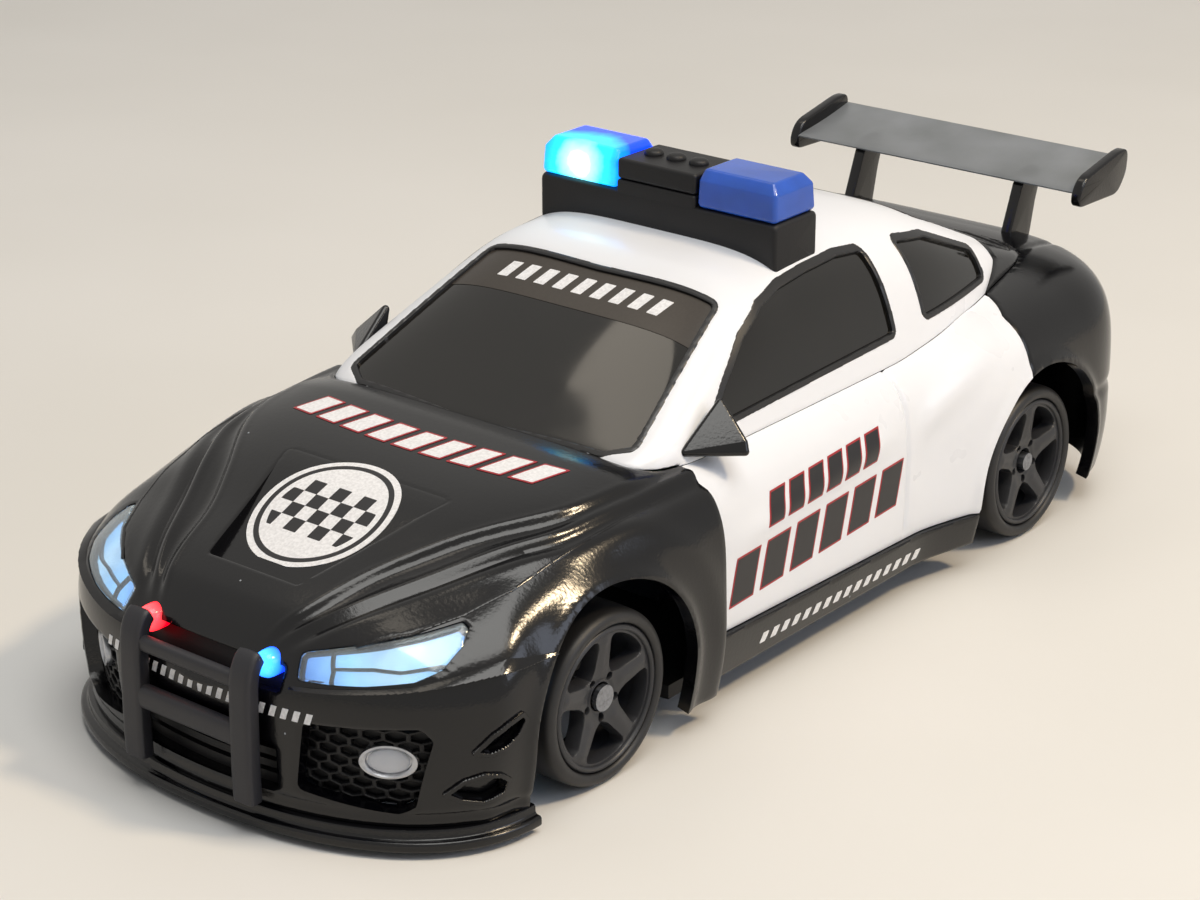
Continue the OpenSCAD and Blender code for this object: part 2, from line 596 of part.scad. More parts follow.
kingpin_x = tyre_x - kingpin_offset;
kingpin_r = kingpin_d / 2;
arm_eye_r = kingpin_r + 0.75;
knuckle_r = kingpin_r + 0.85;
deck_low_z = axle_z + 4.3;         // plate that holds the tops of the kingpins
deck_top_z = deck_low_z + 1;
pillar = [kingpin_x - 5.4, front_y];
pillar_r = 1.6;
small_screw_r = 0.5;
small_head_r = 0.95;
axle_r = axle_d / 2;
bush_r = axle_r + 0.7;
bush_x = wheel_in_x - 3.6;         // middle of the rear axle's carriers
carrier_w = 2.2;
carrier_half = 2.2;
gear_distance = gear_module * (axle_teeth + pinion_teeth) / 2;
gear_w = 2.6;
gear_room = 0.5;                   // free room between the gear and the right carrier
gear_x = -(bush_x - carrier_w / 2 - gear_room - gear_w / 2);
gear_tip = 0.85;                   // tooth height above and below the pitch line, in modules
gear_root = 1.15;
gear_angle = 25;
gear_play = 0.06;                  // how much thinner each tooth is cut
motor_y = rear_y - gear_distance;
motor_x = gear_x + gear_w / 2 + 1.2;
motor_shaft_r = 0.5;
board_posts = [[10, -4.5], [10, 18.5]];
board_z = 13.2;
board_post_r = 1.2;
switch_at = [14, 10];
switch_travel = 2;
knob = [1.6, 2.2];
socket_at = [-14, 11];
socket = [3.2, 9];
floor_nose_x = max(13, kingpin_x + 0.1);   // half width of the floor behind the bumper

module floor_plan() polygon(concat(
  [[10, bumper_y + 3.6], [floor_nose_x, bumper_y + 8.2], [kingpin_x - 1.9, front_full_y - 1], [kingpin_x - 1.9, front_y + 10],
    [door_w / 2 - 2.5, front_y + 11.5], [door_w / 2 - 2.5, rear_y - 11], [wheel_in_x - 1.4, rear_y - 9.5],
    [wheel_in_x - 1.4, rear_y + 9.5], [12.6, tail_y - 5.2 - panel_gap]],
  [[-12.6, tail_y - 5.2 - panel_gap], [-wheel_in_x + 1.4, rear_y + 9.5], [-wheel_in_x + 1.4, rear_y - 9.5],
    [-door_w / 2 + 2.5, rear_y - 11], [-door_w / 2 + 2.5, front_y + 11.5], [-kingpin_x + 1.9, front_y + 10],
    [-kingpin_x + 1.9, front_full_y - 1], [-floor_nose_x, bumper_y + 8.2], [-10, bumper_y + 3.6]]));
module chassis_tray() color([0.12, 0.12, 0.13]) difference() {
  union() {
    translate([0, 0, floor_z]) linear_extrude(floor_top_z - floor_z) floor_plan();
    both_sides() {
      translate([kingpin_x, front_y, floor_z]) cylinder(r = arm_eye_r, h = floor_top_z - floor_z);
      translate([kingpin_x - 3, front_y - arm_eye_r, floor_z]) cube([3, 2 * arm_eye_r, floor_top_z - floor_z]);
      translate([pillar[0], pillar[1], floor_z + 0.2]) cylinder(r = pillar_r, h = deck_low_z - seat_gap - floor_z - 0.2);
      for (p = board_posts) translate([p[0], p[1], floor_z + 0.2]) cylinder(r = board_post_r, h = board_z - seat_gap - floor_z - 0.2);
      translate([bush_x - carrier_w / 2, rear_y - carrier_half, floor_z + 0.2])
        cube([carrier_w, 2 * carrier_half, axle_z + 2.6 - floor_z]);
    }
    for (x = [motor_x + 0.2, motor_x + motor_len - 5.8]) translate([x, motor_y - 3, floor_z + 0.2])
      cube([5.6, 6, axle_z - 1.2 - floor_z]);
  }
  for (p = screw_places) both_sides() {
    translate([p[0], p[1], floor_z - 1]) cylinder(r = screw_r + run_gap, h = 5);
    translate([p[0], p[1], floor_z - 1]) cylinder(r = screw_head_r + 0.1, h = 1.7);
  }
  both_sides() {
    translate([kingpin_x, front_y, floor_z + 0.2]) cylinder(r = kingpin_r + seat_gap, h = 5);
    translate([pillar[0], pillar[1], deck_low_z - 4]) cylinder(r = small_screw_r + seat_gap, h = 5);
    for (p = board_posts) translate([p[0], p[1], board_z - 4]) cylinder(r = small_screw_r + seat_gap, h = 5);
    translate([bush_x - 5, rear_y, axle_z]) rotate([0, 90, 0]) cylinder(r = bush_r + seat_gap, h = 10);
  }
  translate([motor_x - 1, motor_y, axle_z]) rotate([0, 90, 0]) cylinder(r = motor_d / 2 + seat_gap, h = motor_len + 3);
  translate([gear_x - gear_w / 2 - 0.6, rear_y - 4, 0]) cube([gear_w + 1.2, 8, floor_top_z + 0.1]);
  translate([switch_at[0] - knob[0] / 2 - 0.15, switch_at[1] - knob[1] / 2 - 0.15, 0])
    cube([knob[0] + 0.3, knob[1] + switch_travel + 0.3, 5]);
  translate([socket_at[0] - socket[0] / 2 - seat_gap, socket_at[1] - socket[1] / 2 - seat_gap, 0])
    cube([socket[0] + 2 * seat_gap, socket[1] + 2 * seat_gap, 5]);
}

module body_screws() color([0.6, 0.6, 0.62]) for (p = screw_places) both_sides() translate([p[0], p[1], floor_z + 0.1]) {
  difference() {
    cylinder(r = screw_head_r, h = 0.6);
    for (a = [0, 90]) rotate(a) translate([-0.8, -0.15, -0.1]) cube([1.6, 0.3, 0.4]);
  }
  translate([0, 0, 0.6]) cylinder(r = screw_r, h = 6);
}
module small_screw(p, z) translate([p[0], p[1], z + seat_gap]) {
  difference() {
    cylinder(r = small_head_r, h = 0.5);
    for (a = [0, 90]) rotate(a) translate([-0.6, -0.12, 0.25]) cube([1.2, 0.24, 1]);
  }
  translate([0, 0, -3.4]) cylinder(r = small_screw_r, h = 3.4);
}
module small_screws() color([0.6, 0.6, 0.62]) both_sides() {
  small_screw(pillar, deck_top_z);
  for (p = board_posts) small_screw(p, board_z + 0.8);
}

module main_board() color([0.05, 0.3, 0.15]) {
  difference() {
    translate([-11.6, -6.4, board_z]) cube([23.2, 26.8, 0.8]);
    for (p = board_posts) both_sides() translate([p[0], p[1], board_z - 1]) cylinder(r = small_screw_r + 0.1, h = 3);
  }
  translate([-3, 0, board_z + 0.8]) cube([6, 6, 0.9]);
  translate([-7, 9, board_z + 0.8]) cube([4, 5, 0.8]);
  translate([2, 9, board_z + 0.8]) cube([5, 3.2, 0.7]);
  translate([-7.4, -4, board_z + 0.8]) cylinder(r = 1.3, h = 2.4);
  translate([4, 15, board_z + 0.8]) cube([4.4, 3.4, 2]);
}
module battery_cell() color([0.65, 0.67, 0.7]) translate([0, 0, floor_top_z + seat_gap]) {
  translate([-8, -7, 0]) cube([16, 20.4, 7]);
  translate([-7, 13.4, 2.6]) cube([14, 1.6, 2]);
}
module charge_socket() color([0.75, 0.75, 0.77]) translate([socket_at[0], socket_at[1], floor_z + 0.1]) {
  difference() {
    translate([-socket[0] / 2, -socket[1] / 2, 0]) cube([socket[0], socket[1], 6.5]);
    translate([-socket[0] / 2 + 0.4, -socket[1] / 2 + 0.4, -1]) cube([socket[0] - 0.8, socket[1] - 0.8, 6.5]);
  }
  translate([-0.35, -3.2, 0.6]) cube([0.7, 6.4, 5]);
}
module power_switch_body() color([0.7, 0.7, 0.7]) difference() {
  translate([switch_at[0] - 1.9, switch_at[1] - 2.4, floor_top_z + seat_gap]) cube([3.8, 4.8 + switch_travel, 2.4]);
  translate([switch_at[0] - knob[0] / 2 - 0.1, switch_at[1] - knob[1] / 2 - 0.15, 0])
    cube([knob[0] + 0.2, knob[1] + switch_travel + 0.3, floor_top_z + 1.2]);
}
module power_switch_knob() color([0.85, 0.85, 0.85]) {
  translate([switch_at[0] - knob[0] / 2, switch_at[1] - knob[1] / 2, floor_z - 0.7]) cube([knob[0], knob[1], 2.7]);
  for (i = [-1, 0, 1]) translate([switch_at[0] - knob[0] / 2, switch_at[1] + i * 0.7 - 0.15, floor_z - 0.85])
    cube([knob[0], 0.3, 0.2]);
}

// Steering

module steering_deck() color([0.12, 0.12, 0.13]) difference() {
  union() {
    translate([-kingpin_x, front_y - arm_eye_r, deck_low_z]) cube([2 * kingpin_x, 2 * arm_eye_r, deck_top_z - deck_low_z]);
    translate([-pillar[0] - 1, front_y - 2.4, deck_low_z]) cube([2 * pillar[0] + 2, 4.8, deck_top_z - deck_low_z]);
    both_sides() translate([kingpin_x, front_y, deck_low_z]) cylinder(r = arm_eye_r, h = deck_top_z - deck_low_z);
  }
  both_sides() {
    translate([kingpin_x, front_y, deck_low_z - 1]) cylinder(r = kingpin_r + seat_gap, h = 1.8);
    translate([pillar[0], pillar[1], deck_low_z - 1]) cylinder(r = small_screw_r + 0.1, h = 4);
  }
}
module kingpins() color([0.7, 0.7, 0.72]) both_sides() translate([kingpin_x, front_y, floor_z + 0.3])
  cylinder(r = kingpin_r, h = deck_low_z + 0.7 - floor_z - 0.3);

arm_z = 4.2;                       // steering arms, with the tie rod lying on them
rod_z = arm_z + 1.1;
arm_pin_r = 0.5;
rod_y = front_y + arm_len;
slot_play = 0.1;
slot_rise = arm_len * (1 - cos(steer_max)) + 0.08;
module knuckle() difference() {
  union() {
    translate([kingpin_x, front_y, floor_top_z + run_gap]) cylinder(r = knuckle_r, h = deck_low_z - floor_top_z - 2 * run_gap);
    translate([kingpin_x, front_y, axle_z]) rotate([0, 90, 0]) cylinder(r = axle_r + 0.65, h = wheel_in_x - kingpin_x - 0.7);
    translate([kingpin_x - 0.7, front_y, arm_z]) cube([1.4, arm_len, 1]);
    translate([kingpin_x, rod_y, arm_z]) cylinder(r = 0.9, h = 1);
    translate([kingpin_x, rod_y, arm_z + 0.5]) cylinder(r = arm_pin_r, h = 1.7);
  }
  translate([kingpin_x, front_y, 0]) cylinder(r = kingpin_r + run_gap, h = 20);
  translate([kingpin_x + kingpin_r + 0.3, front_y, axle_z]) rotate([0, 90, 0]) cylinder(r = axle_r + seat_gap, h = 10);
}
module knuckle_left() color([0.15, 0.15, 0.16]) knuckle();
module knuckle_right() color([0.15, 0.15, 0.16]) mirror([1, 0, 0]) knuckle();

pin_head_r = axle_r + 0.25;
module axle_pin() translate([kingpin_x + kingpin_r + 0.35, front_y, axle_z]) rotate([0, 90, 0]) {
  cylinder(r = axle_r, h = wheel_out_x - 0.9 - kingpin_x - kingpin_r - 0.35);
  translate([0, 0, wheel_out_x - 0.9 - kingpin_x - kingpin_r - 0.35]) cylinder(r = pin_head_r, h = 0.4);
}
module axle_pin_left() color([0.6, 0.6, 0.62]) axle_pin();
module axle_pin_right() color([0.6, 0.6, 0.62]) mirror([1, 0, 0]) axle_pin();

module rod_slot(x) translate([x, rod_y, rod_z - 1]) {
  translate([-arm_pin_r - slot_play, -slot_rise, 0]) cube([2 * (arm_pin_r + slot_play), 2 * slot_rise, 4]);
  for (s = [-1, 1]) translate([0, s * slot_rise, 0]) cylinder(r = arm_pin_r + slot_play, h = 4);
}
module tie_rod() color([0.2, 0.2, 0.21]) difference() {
  translate([-kingpin_x - 1.2, rod_y - 1.6, rod_z]) cube([2 * kingpin_x + 2.4, 3.2, 1]);
  rod_slot(-kingpin_x);
  rod_slot(0);
  rod_slot(kingpin_x);
}
crank_y = rod_y + arm_len;
crank_z = rod_z + 1.6;
module steering_crank() color([0.85, 0.85, 0.83]) {
  difference() {
    union() {
      translate([0, crank_y, crank_z]) cylinder(r = 1.3, h = 1);
      translate([-0.7, rod_y, crank_z]) cube([1.4, arm_len, 1]);
      translate([0, rod_y, crank_z]) cylinder(r = 0.9, h = 1);
      translate([0, rod_y, rod_z - 0.3]) cylinder(r = arm_pin_r, h = 2.2);
    }
    translate([0, 0, crank_z + 0.8]) translate([-0.1, crank_y - 0.8, 0]) cube([0.2, 1.6, 1]);
  }
  translate([0, crank_y, floor_top_z + 2]) cylinder(r = 0.7, h = crank_z - floor_top_z - 2);
}
module steering_motor() color([0.2, 0.2, 0.45]) difference() {
  translate([-4.6, crank_y - 1.6, floor_top_z + seat_gap]) cube([9.2, 11.6, crank_z - 0.15 - floor_top_z - seat_gap]);
  translate([0, crank_y, floor_top_z + 1.8]) cylinder(r = 0.7 + run_gap, h = 10);
}

// Wheels, drawn with the axle along Z and the outer face up

hub_r = axle_r + 1.1;
rim_r = rim_d / 2;
module rim(bore, counterbore) difference() {
  union() {
    rotate_extrude() polygon([[rim_r - 0.6, 0.2], [rim_r, 0.2], [rim_r, tyre_w - 0.2], [rim_r - 0.5, tyre_w - 0.2],
      [rim_r - 0.8, tyre_w - 0.9], [rim_r - 0.8, 0.5]]);
    translate([0, 0, -0.3]) cylinder(r = hub_r, h = tyre_w - 0.1);
    for (i = [0 : spokes - 1]) rotate(90 + 360 * i / spokes) translate([0, 0, tyre_w - 1.9]) linear_extrude(1.4)
      polygon([[axle_r + 0.5, -1], [rim_r - 0.65, -0.75], [rim_r - 0.65, 0.75], [axle_r + 0.5, 1]]);
  }
  translate([0, 0, -1]) cylinder(r = bore, h = 20);
  translate([0, 0, tyre_w - 1]) cylinder(r = counterbore, h = 5);
}
module tyre() difference() {
  rotate_extrude() polygon([[rim_r - 1, 0.3], [tyre_d / 2 - 0.5, 0], [tyre_d / 2, 0.5], [tyre_d / 2, tyre_w - 0.5],
    [tyre_d / 2 - 0.5, tyre_w], [rim_r - 1, tyre_w - 0.3]]);
  translate([0, 0, -1]) cylinder(r = rim_r + seat_gap, h = 20);
}
module left_wheel(y) translate([wheel_in_x, y, axle_z]) rotate([0, 90, 0]) children();
module right_wheel(y) mirror([1, 0, 0]) left_wheel(y) children();
module front_rim() rim(axle_r + run_gap, pin_head_r + 0.1);
module rear_rim() rim(axle_r + seat_gap, axle_r + seat_gap);
module front_rim_left() color([0.22, 0.22, 0.24]) left_wheel(front_y) front_rim();
module front_rim_right() color([0.22, 0.22, 0.24]) right_wheel(front_y) front_rim();
module rear_rim_left() color([0.22, 0.22, 0.24]) left_wheel(rear_y) rear_rim();
module rear_rim_right() color([0.22, 0.22, 0.24]) right_wheel(rear_y) rear_rim();
module front_tyre_left() color([0.04, 0.04, 0.04]) left_wheel(front_y) tyre();
module front_tyre_right() color([0.04, 0.04, 0.04]) right_wheel(front_y) tyre();
module rear_tyre_left() color([0.04, 0.04, 0.04]) left_wheel(rear_y) tyre();
module rear_tyre_right() color([0.04, 0.04, 0.04]) right_wheel(rear_y) tyre();

// Drive

// Angle that an involute has unrolled, in degrees, and half a tooth's angle at radius r
function unroll(a) = tan(a) * 180 / PI - a;
function half_tooth(teeth, r) = let (pitch = gear_module * teeth / 2, base = pitch * cos(gear_angle))
  90 / teeth - gear_play * 90 / (PI * pitch) + unroll(gear_angle) - unroll(r > base ? acos(base / r) : 0);
function polar(r, a) = [r * cos(a), r * sin(a)];
// Gear outline with a tooth on the positive first axis
module gear_outline(teeth) {
  pitch = gear_module * teeth / 2;
  low = pitch - gear_root * gear_module;
  high = pitch + gear_tip * gear_module;
  base = max(pitch * cos(gear_angle), low + 0.02);
  steps = [for (k = [0 : 4]) base + (high - base) * k / 4];
  polygon([for (i = [0 : teeth - 1]) let (turn = 360 * i / teeth) each concat(
    [polar(low, turn - half_tooth(teeth, base))],
    [for (r = steps) polar(r, turn - half_tooth(teeth, r))],
    [for (k = [4 : -1 : 0]) polar(steps[k], turn + half_tooth(teeth, steps[k]))],
    [polar(low, turn + half_tooth(teeth, base))])]);
}
// The outline's first axis lies along +Y here and its second along +Z
module along_x(x, y) translate([x, y, axle_z]) rotate([90, 0, 90]) children();
module axle_gear() color([0.9, 0.88, 0.8]) difference() {
  along_x(gear_x - gear_w / 2, rear_y) rotate(180) linear_extrude(gear_w) gear_outline(axle_teeth);
  along_x(gear_x - 10, rear_y) cylinder(r = axle_r + seat_gap, h = 20);
}
module motor_pinion() color([0.8, 0.7, 0.3]) difference() {
  along_x(gear_x - gear_w / 2 - 0.2, motor_y) rotate(180 / pinion_teeth) linear_extrude(gear_w + 0.4) gear_outline(pinion_teeth);
  along_x(gear_x - 10, motor_y) cylinder(r = motor_shaft_r + seat_gap, h = 20);
}
module motor_shaft() color([0.7, 0.7, 0.72])
  along_x(gear_x - gear_w / 2 - 0.3, motor_y) cylinder(r = motor_shaft_r, h = motor_x + 6 - gear_x + gear_w / 2 + 0.3);
module motor_can() color([0.6, 0.62, 0.65]) difference() {
  union() {
    along_x(motor_x, motor_y) cylinder(r = motor_d / 2, h = motor_len);
    along_x(motor_x - 0.5, motor_y) cylinder(r = 1.4, h = 1);
  }
  along_x(motor_x - 1, motor_y) cylinder(r = motor_shaft_r + run_gap, h = 7.2);
}
module motor_clamp() color([0.12, 0.12, 0.13]) difference() {
  translate([motor_x + 6.2, motor_y - motor_d / 2 - 1, floor_top_z + seat_gap]) cube([3.4, motor_d + 2, axle_z + motor_d / 2 + 0.8 - floor_top_z]);
  along_x(motor_x, motor_y) cylinder(r = motor_d / 2 + seat_gap, h = motor_len);
}
module rear_axle_shaft() color([0.7, 0.7, 0.72])
  along_x(-wheel_out_x + 0.5, rear_y) cylinder(r = axle_r, h = 2 * wheel_out_x - 1);
module axle_bushes() color([0.75, 0.6, 0.3]) both_sides() difference() {
  union() {
    along_x(bush_x - carrier_w / 2 - 0.1, rear_y) cylinder(r = bush_r, h = carrier_w + 0.2);
    along_x(bush_x + carrier_w / 2 + 0.1, rear_y) cylinder(r = bush_r + 0.5, h = 0.5);
  }
  along_x(bush_x - 5, rear_y) cylinder(r = axle_r + run_gap, h = 10);
}

front_clip();
cabin_shell();
rear_clip();
side_skirts();
front_splitter();
rear_diffuser();
push_bar();
push_bar_lamp_red();
push_bar_lamp_blue();
grille_inserts();
fog_grilles();
fog_lamps();
headlamp_lenses();
headlamp_housings();
windscreen();
side_windows();
rear_window();
mirrors();
light_bar_base();
light_bar_lens_left();
light_bar_lens_right();
light_bar_cover();
light_bar_leds();
wing_plane();
wing_end_plates();
wing_stays();
tail_lamps();
chassis_tray();
body_screws();
small_screws();
main_board();
battery_cell();
charge_socket();
power_switch_body();
power_switch_knob();
steering_deck();
kingpins();
steering_motor();
steering_crank();
tie_rod();
knuckle_left();
knuckle_right();
axle_pin_left();
axle_pin_right();
front_rim_left();
front_rim_right();
front_tyre_left();
front_tyre_right();
rear_axle_shaft();
axle_gear();
axle_bushes();
rear_rim_left();
rear_rim_right();
rear_tyre_left();
rear_tyre_right();
motor_can();
motor_shaft();
motor_pinion();
motor_clamp();
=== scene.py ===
import math

import bpy
import numpy as np
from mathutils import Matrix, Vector


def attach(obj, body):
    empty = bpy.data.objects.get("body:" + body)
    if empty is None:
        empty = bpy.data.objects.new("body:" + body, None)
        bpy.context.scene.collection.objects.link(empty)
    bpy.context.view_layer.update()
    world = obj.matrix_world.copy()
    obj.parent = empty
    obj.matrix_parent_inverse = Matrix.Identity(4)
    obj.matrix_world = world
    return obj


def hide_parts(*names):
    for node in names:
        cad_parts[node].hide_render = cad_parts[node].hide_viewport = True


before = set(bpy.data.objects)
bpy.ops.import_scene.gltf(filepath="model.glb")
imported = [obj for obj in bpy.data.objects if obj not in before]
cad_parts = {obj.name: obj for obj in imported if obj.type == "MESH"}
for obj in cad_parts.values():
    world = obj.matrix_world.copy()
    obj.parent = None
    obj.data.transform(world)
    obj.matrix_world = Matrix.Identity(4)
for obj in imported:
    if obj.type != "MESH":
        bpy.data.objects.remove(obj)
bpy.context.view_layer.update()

# Camera: a short tele lens, a little above the car and to the left of its nose.
# Eye point, heading, height angle and focal length come from a pinhole fit to the photo.
MM = 0.001
eye_mm = (142.46, -180.66, 104.85)
heading, height_angle = math.radians(39.055), math.radians(21.89)
focal_px, photo_w, sensor_mm = 2859.66, 1200, 36


def add_object(name, data):
    """Object at the origin that holds data, linked into the scene."""
    item = bpy.data.objects.new(name, data)
    bpy.context.scene.collection.objects.link(item)
    return item


def add_aimed(name, data, place_mm, way):
    """Camera or lamp at place_mm that looks along way."""
    item = add_object(name, data)
    item.location = Vector(place_mm) * MM
    item.rotation_mode = "QUATERNION"
    item.rotation_quaternion = way.to_track_quat("-Z", "Y")
    return item


back = Vector((math.sin(heading) * math.cos(height_angle),
               -math.cos(heading) * math.cos(height_angle), math.sin(height_angle)))
lens = bpy.data.cameras.new("camera")
lens.sensor_width = sensor_mm
lens.lens = focal_px * sensor_mm / photo_w
lens.clip_start, lens.clip_end = 0.01, 20
bpy.context.scene.camera = add_aimed("camera", lens, eye_mm, -back)


# Floor: a pale matt table top under the car, far wider than the view.
# A painted board: flat paint with a faint cloudiness. Far from the car it goes over into the
# room's own tone, for what the camera sees, what gloss mirrors and what clear plastic lets through.
def linear(code):
    """sRGB hex colour as opaque linear RGBA: the sRGB curve undone channel by channel."""
    rgb = np.array([int(code[i:i + 2], 16) for i in (1, 3, 5)]) / 255
    return (*np.where(rgb <= 0.04045, rgb / 12.92, ((rgb + 0.055) / 1.055) ** 2.4), 1.0)


def add_node(material, kind, inputs=None, stops=(), **settings):
    """Adds one shader node: settings are its properties, inputs its socket values or the sockets
    that feed it, stops the (place, hex colour or grey) of a colour ramp."""
    node = material.node_tree.nodes.new(kind)
    for key, value in settings.items():
        setattr(node, key, value)
    for key, value in (inputs or {}).items():
        if isinstance(value, bpy.types.NodeSocket):
            material.node_tree.links.new(value, node.inputs[key])
        else:
            node.inputs[key].default_value = value
    for i, (place, value) in enumerate(stops):
        ramp = node.color_ramp.elements
        element = ramp[i] if i < 2 else ramp.new(place)
        element.position = place
        element.color = linear(value) if isinstance(value, str) else (value, value, value, 1)
    return node


def new_material(name):
    """Empty node material with that name."""
    material = bpy.data.materials.new(name)
    material.use_nodes = True
    material.node_tree.nodes.clear()
    return material


def per_mm(size_mm):
    """Texture scale in Object coordinates (metres) at which one feature is size_mm wide."""
    return 1 / (size_mm * MM)


def build_mesh(name, points, triangles):
    """Mesh from points in mm: points at the same place are merged, and triangles that lose a
    corner by it dropped."""
    points = np.round(np.asarray(points, float), 4)
    points, place = np.unique(points, axis=0, return_inverse=True)
    triangles = place.ravel()[np.asarray(triangles)]
    a, b, c = triangles.T
    triangles = triangles[(a != b) & (b != c) & (c != a)]
    mesh = bpy.data.meshes.new(name)
    mesh.from_pydata((points * MM).tolist(), [], triangles.tolist())
    mesh.validate()
    return mesh


def room_rays(material):
    """1 for rays that show the room: straight from the camera, mirrored in gloss or seen through
    clear plastic."""
    ray = add_node(material, "ShaderNodeLightPath").outputs
    shown = add_node(material, "ShaderNodeMath", {0: ray["Is Camera Ray"], 1: ray["Is Glossy Ray"]},
                     operation="MAXIMUM")
    shown = add_node(material, "ShaderNodeMath",
                     {0: shown.outputs[0], 1: ray["Is Transmission Ray"]}, operation="MAXIMUM")
    return shown.outputs[0]


cloud_mm, floor_half = 90, 2500
room_tone, fade_start, fade_end = "#d2cfca", 0.22, 0.62
floor_paint = new_material("matt table paint")
floor_at = add_node(floor_paint, "ShaderNodeTexCoord").outputs["Object"]
floor_cloud = add_node(floor_paint, "ShaderNodeTexNoise",
                       {"Vector": floor_at, "Scale": per_mm(cloud_mm), "Detail": 3})
floor_colour = add_node(floor_paint, "ShaderNodeValToRGB", {"Fac": floor_cloud.outputs["Fac"]},
                        stops=[(0.3, "#dedcd7"), (0.7, "#e6e4e0")])
floor_shader = add_node(floor_paint, "ShaderNodeBsdfPrincipled",
                        {"Base Color": floor_colour.outputs["Color"], "Roughness": 0.55})
floor_far = add_node(floor_paint, "ShaderNodeVectorMath", {0: floor_at}, operation="LENGTH")
floor_fade = add_node(floor_paint, "ShaderNodeMapRange",
                      {"Value": floor_far.outputs["Value"], "From Min": fade_start,
                       "From Max": fade_end}, interpolation_type="SMOOTHSTEP")
floor_seen = add_node(floor_paint, "ShaderNodeMath",
                      {0: floor_fade.outputs["Result"], 1: room_rays(floor_paint)},
                      operation="MULTIPLY")
floor_room = add_node(floor_paint, "ShaderNodeEmission", {"Color": linear(room_tone)})
floor_mixed = add_node(floor_paint, "ShaderNodeMixShader",
                       {0: floor_seen.outputs[0], 1: floor_shader.outputs["BSDF"],
                        2: floor_room.outputs["Emission"]})
add_node(floor_paint, "ShaderNodeOutputMaterial", {"Surface": floor_mixed.outputs["Shader"]})
floor_corners = [(-floor_half, -floor_half, 0), (floor_half, -floor_half, 0),
                 (floor_half, floor_half, 0), (-floor_half, floor_half, 0)]
floor_mesh = build_mesh("floor", floor_corners, [(0, 1, 2), (0, 2, 3)])
floor_mesh.materials.append(floor_paint)
floor = add_object("floor", floor_mesh)

# Studio light: a soft box overhead, a wide cool one at the car's left side, a small warm one
# above its left, and a weak strip for the windscreen.
# The gloss panels mirror the boxes as bands along their creases.
bpy.context.scene.view_settings.view_transform = "Standard"
sky = bpy.data.worlds.new("studio")
bpy.context.scene.world = sky
sky.use_nodes = True
sky.node_tree.nodes.clear()
sky_light = add_node(sky, "ShaderNodeBackground", {"Color": linear("#e3e6ec"), "Strength": 0.3})
sky_room = add_node(sky, "ShaderNodeBackground", {"Color": linear(room_tone), "Strength": 1.0})
sky_mixed = add_node(sky, "ShaderNodeMixShader",
                     {0: room_rays(sky), 1: sky_light.outputs["Background"],
                      2: sky_room.outputs["Background"]})
add_node(sky, "ShaderNodeOutputWorld", {"Surface": sky_mixed.outputs["Shader"]})
for name, place_mm, aim_mm, size_mm, watts, colour in (
        ("box_overhead", (130, -60, 560), (0, 0, 15), (320, 380), 1.75, "#fffefa"),
        ("box_left_side", (520, 120, 260), (0, 0, 14), (300, 240), 0.55, "#dfe9ff"),
        ("box_left_front", (300, 110, 440), (0, -30, 14), (84, 56), 1.25, "#ffe6c0"),
        ("box_screen", (-250, 40, 560), (0, -14, 26), (80, 220), 0.14, "#eadfce")):
    lamp = bpy.data.lights.new(name, "AREA")
    lamp.shape = "RECTANGLE"
    lamp.size, lamp.size_y = size_mm[0] * MM, size_mm[1] * MM
    lamp.energy = watts
    lamp.color = linear(colour)[:3]
    add_aimed(name, lamp, place_mm, Vector(aim_mm) - Vector(place_mm))


# Front shell: bonnet, fenders and bumper moulded as one gloss black ABS shell, 1.2 mm thick,
# screwed to the chassis from below. Its creases and vent are in the mould; scoop rims, ledges
# under the headlamps and fender seams stand on its face.
def bow(t, n):
    """Quarter of a superellipse of power n: 1 at t = 0 and 0 at t = 1."""
    return (1 - np.clip(t, 0, 1) ** n) ** (1 / n)


def ease(low, high, y):
    """Smooth step from 0 at low to 1 at high."""
    t = np.clip((y - low) / (high - low), 0, 1)
    return t * t * (3 - 2 * t)


def ridge(e, top, width):
    """Bell-shaped rise of a given height and width where e is 0."""
    return top * np.exp(-(e / width) ** 2)


def through(line, y):
    """Cubic curve through the points of a control line; each point's slope is that of its
    neighbours' chord."""
    at, height = np.array(line, float).T
    last = len(at) - 1
    number = np.arange(last + 1)
    before, after = np.maximum(number - 1, 0), np.minimum(number + 1, last)
    slope = (height[after] - height[before]) / (at[after] - at[before])
    i = np.clip(np.searchsorted(at, y, "right") - 1, 0, last - 1)
    h = at[i + 1] - at[i]
    t = np.clip((y - at[i]) / h, 0, 1)
    s = 1 - t
    return (height[i] * s * s * (1 + 2 * t) + slope[i] * h * s * s * t
            + height[i + 1] * t * t * (1 + 2 * s) - slope[i + 1] * h * t * t * s)


front_y, axle_z, arch_r = -30.5, 7.1, 9.6
bumper_y, front_full_y, split_y = -52.5, -39.5, -17.0
front_wide, plan_power = 22.4, 2.2
bumper_bottom_z, waist_z, tuck, wall = 2.2, 9.0, 0.9, 1.2
hood_line = [(-52.5, 10.5), (-51.6, 12.8), (-50, 14.9), (-46.5, 16.72), (-41, 18.33),
             (-33.5, 20.36), (-26, 21.48), (-17, 21.9)]
side_share, corner_share = 0.18, 0.36
nose_share, fender_share = 0.55, 0.45
nose_power, power_gain = 3.3, 1.7


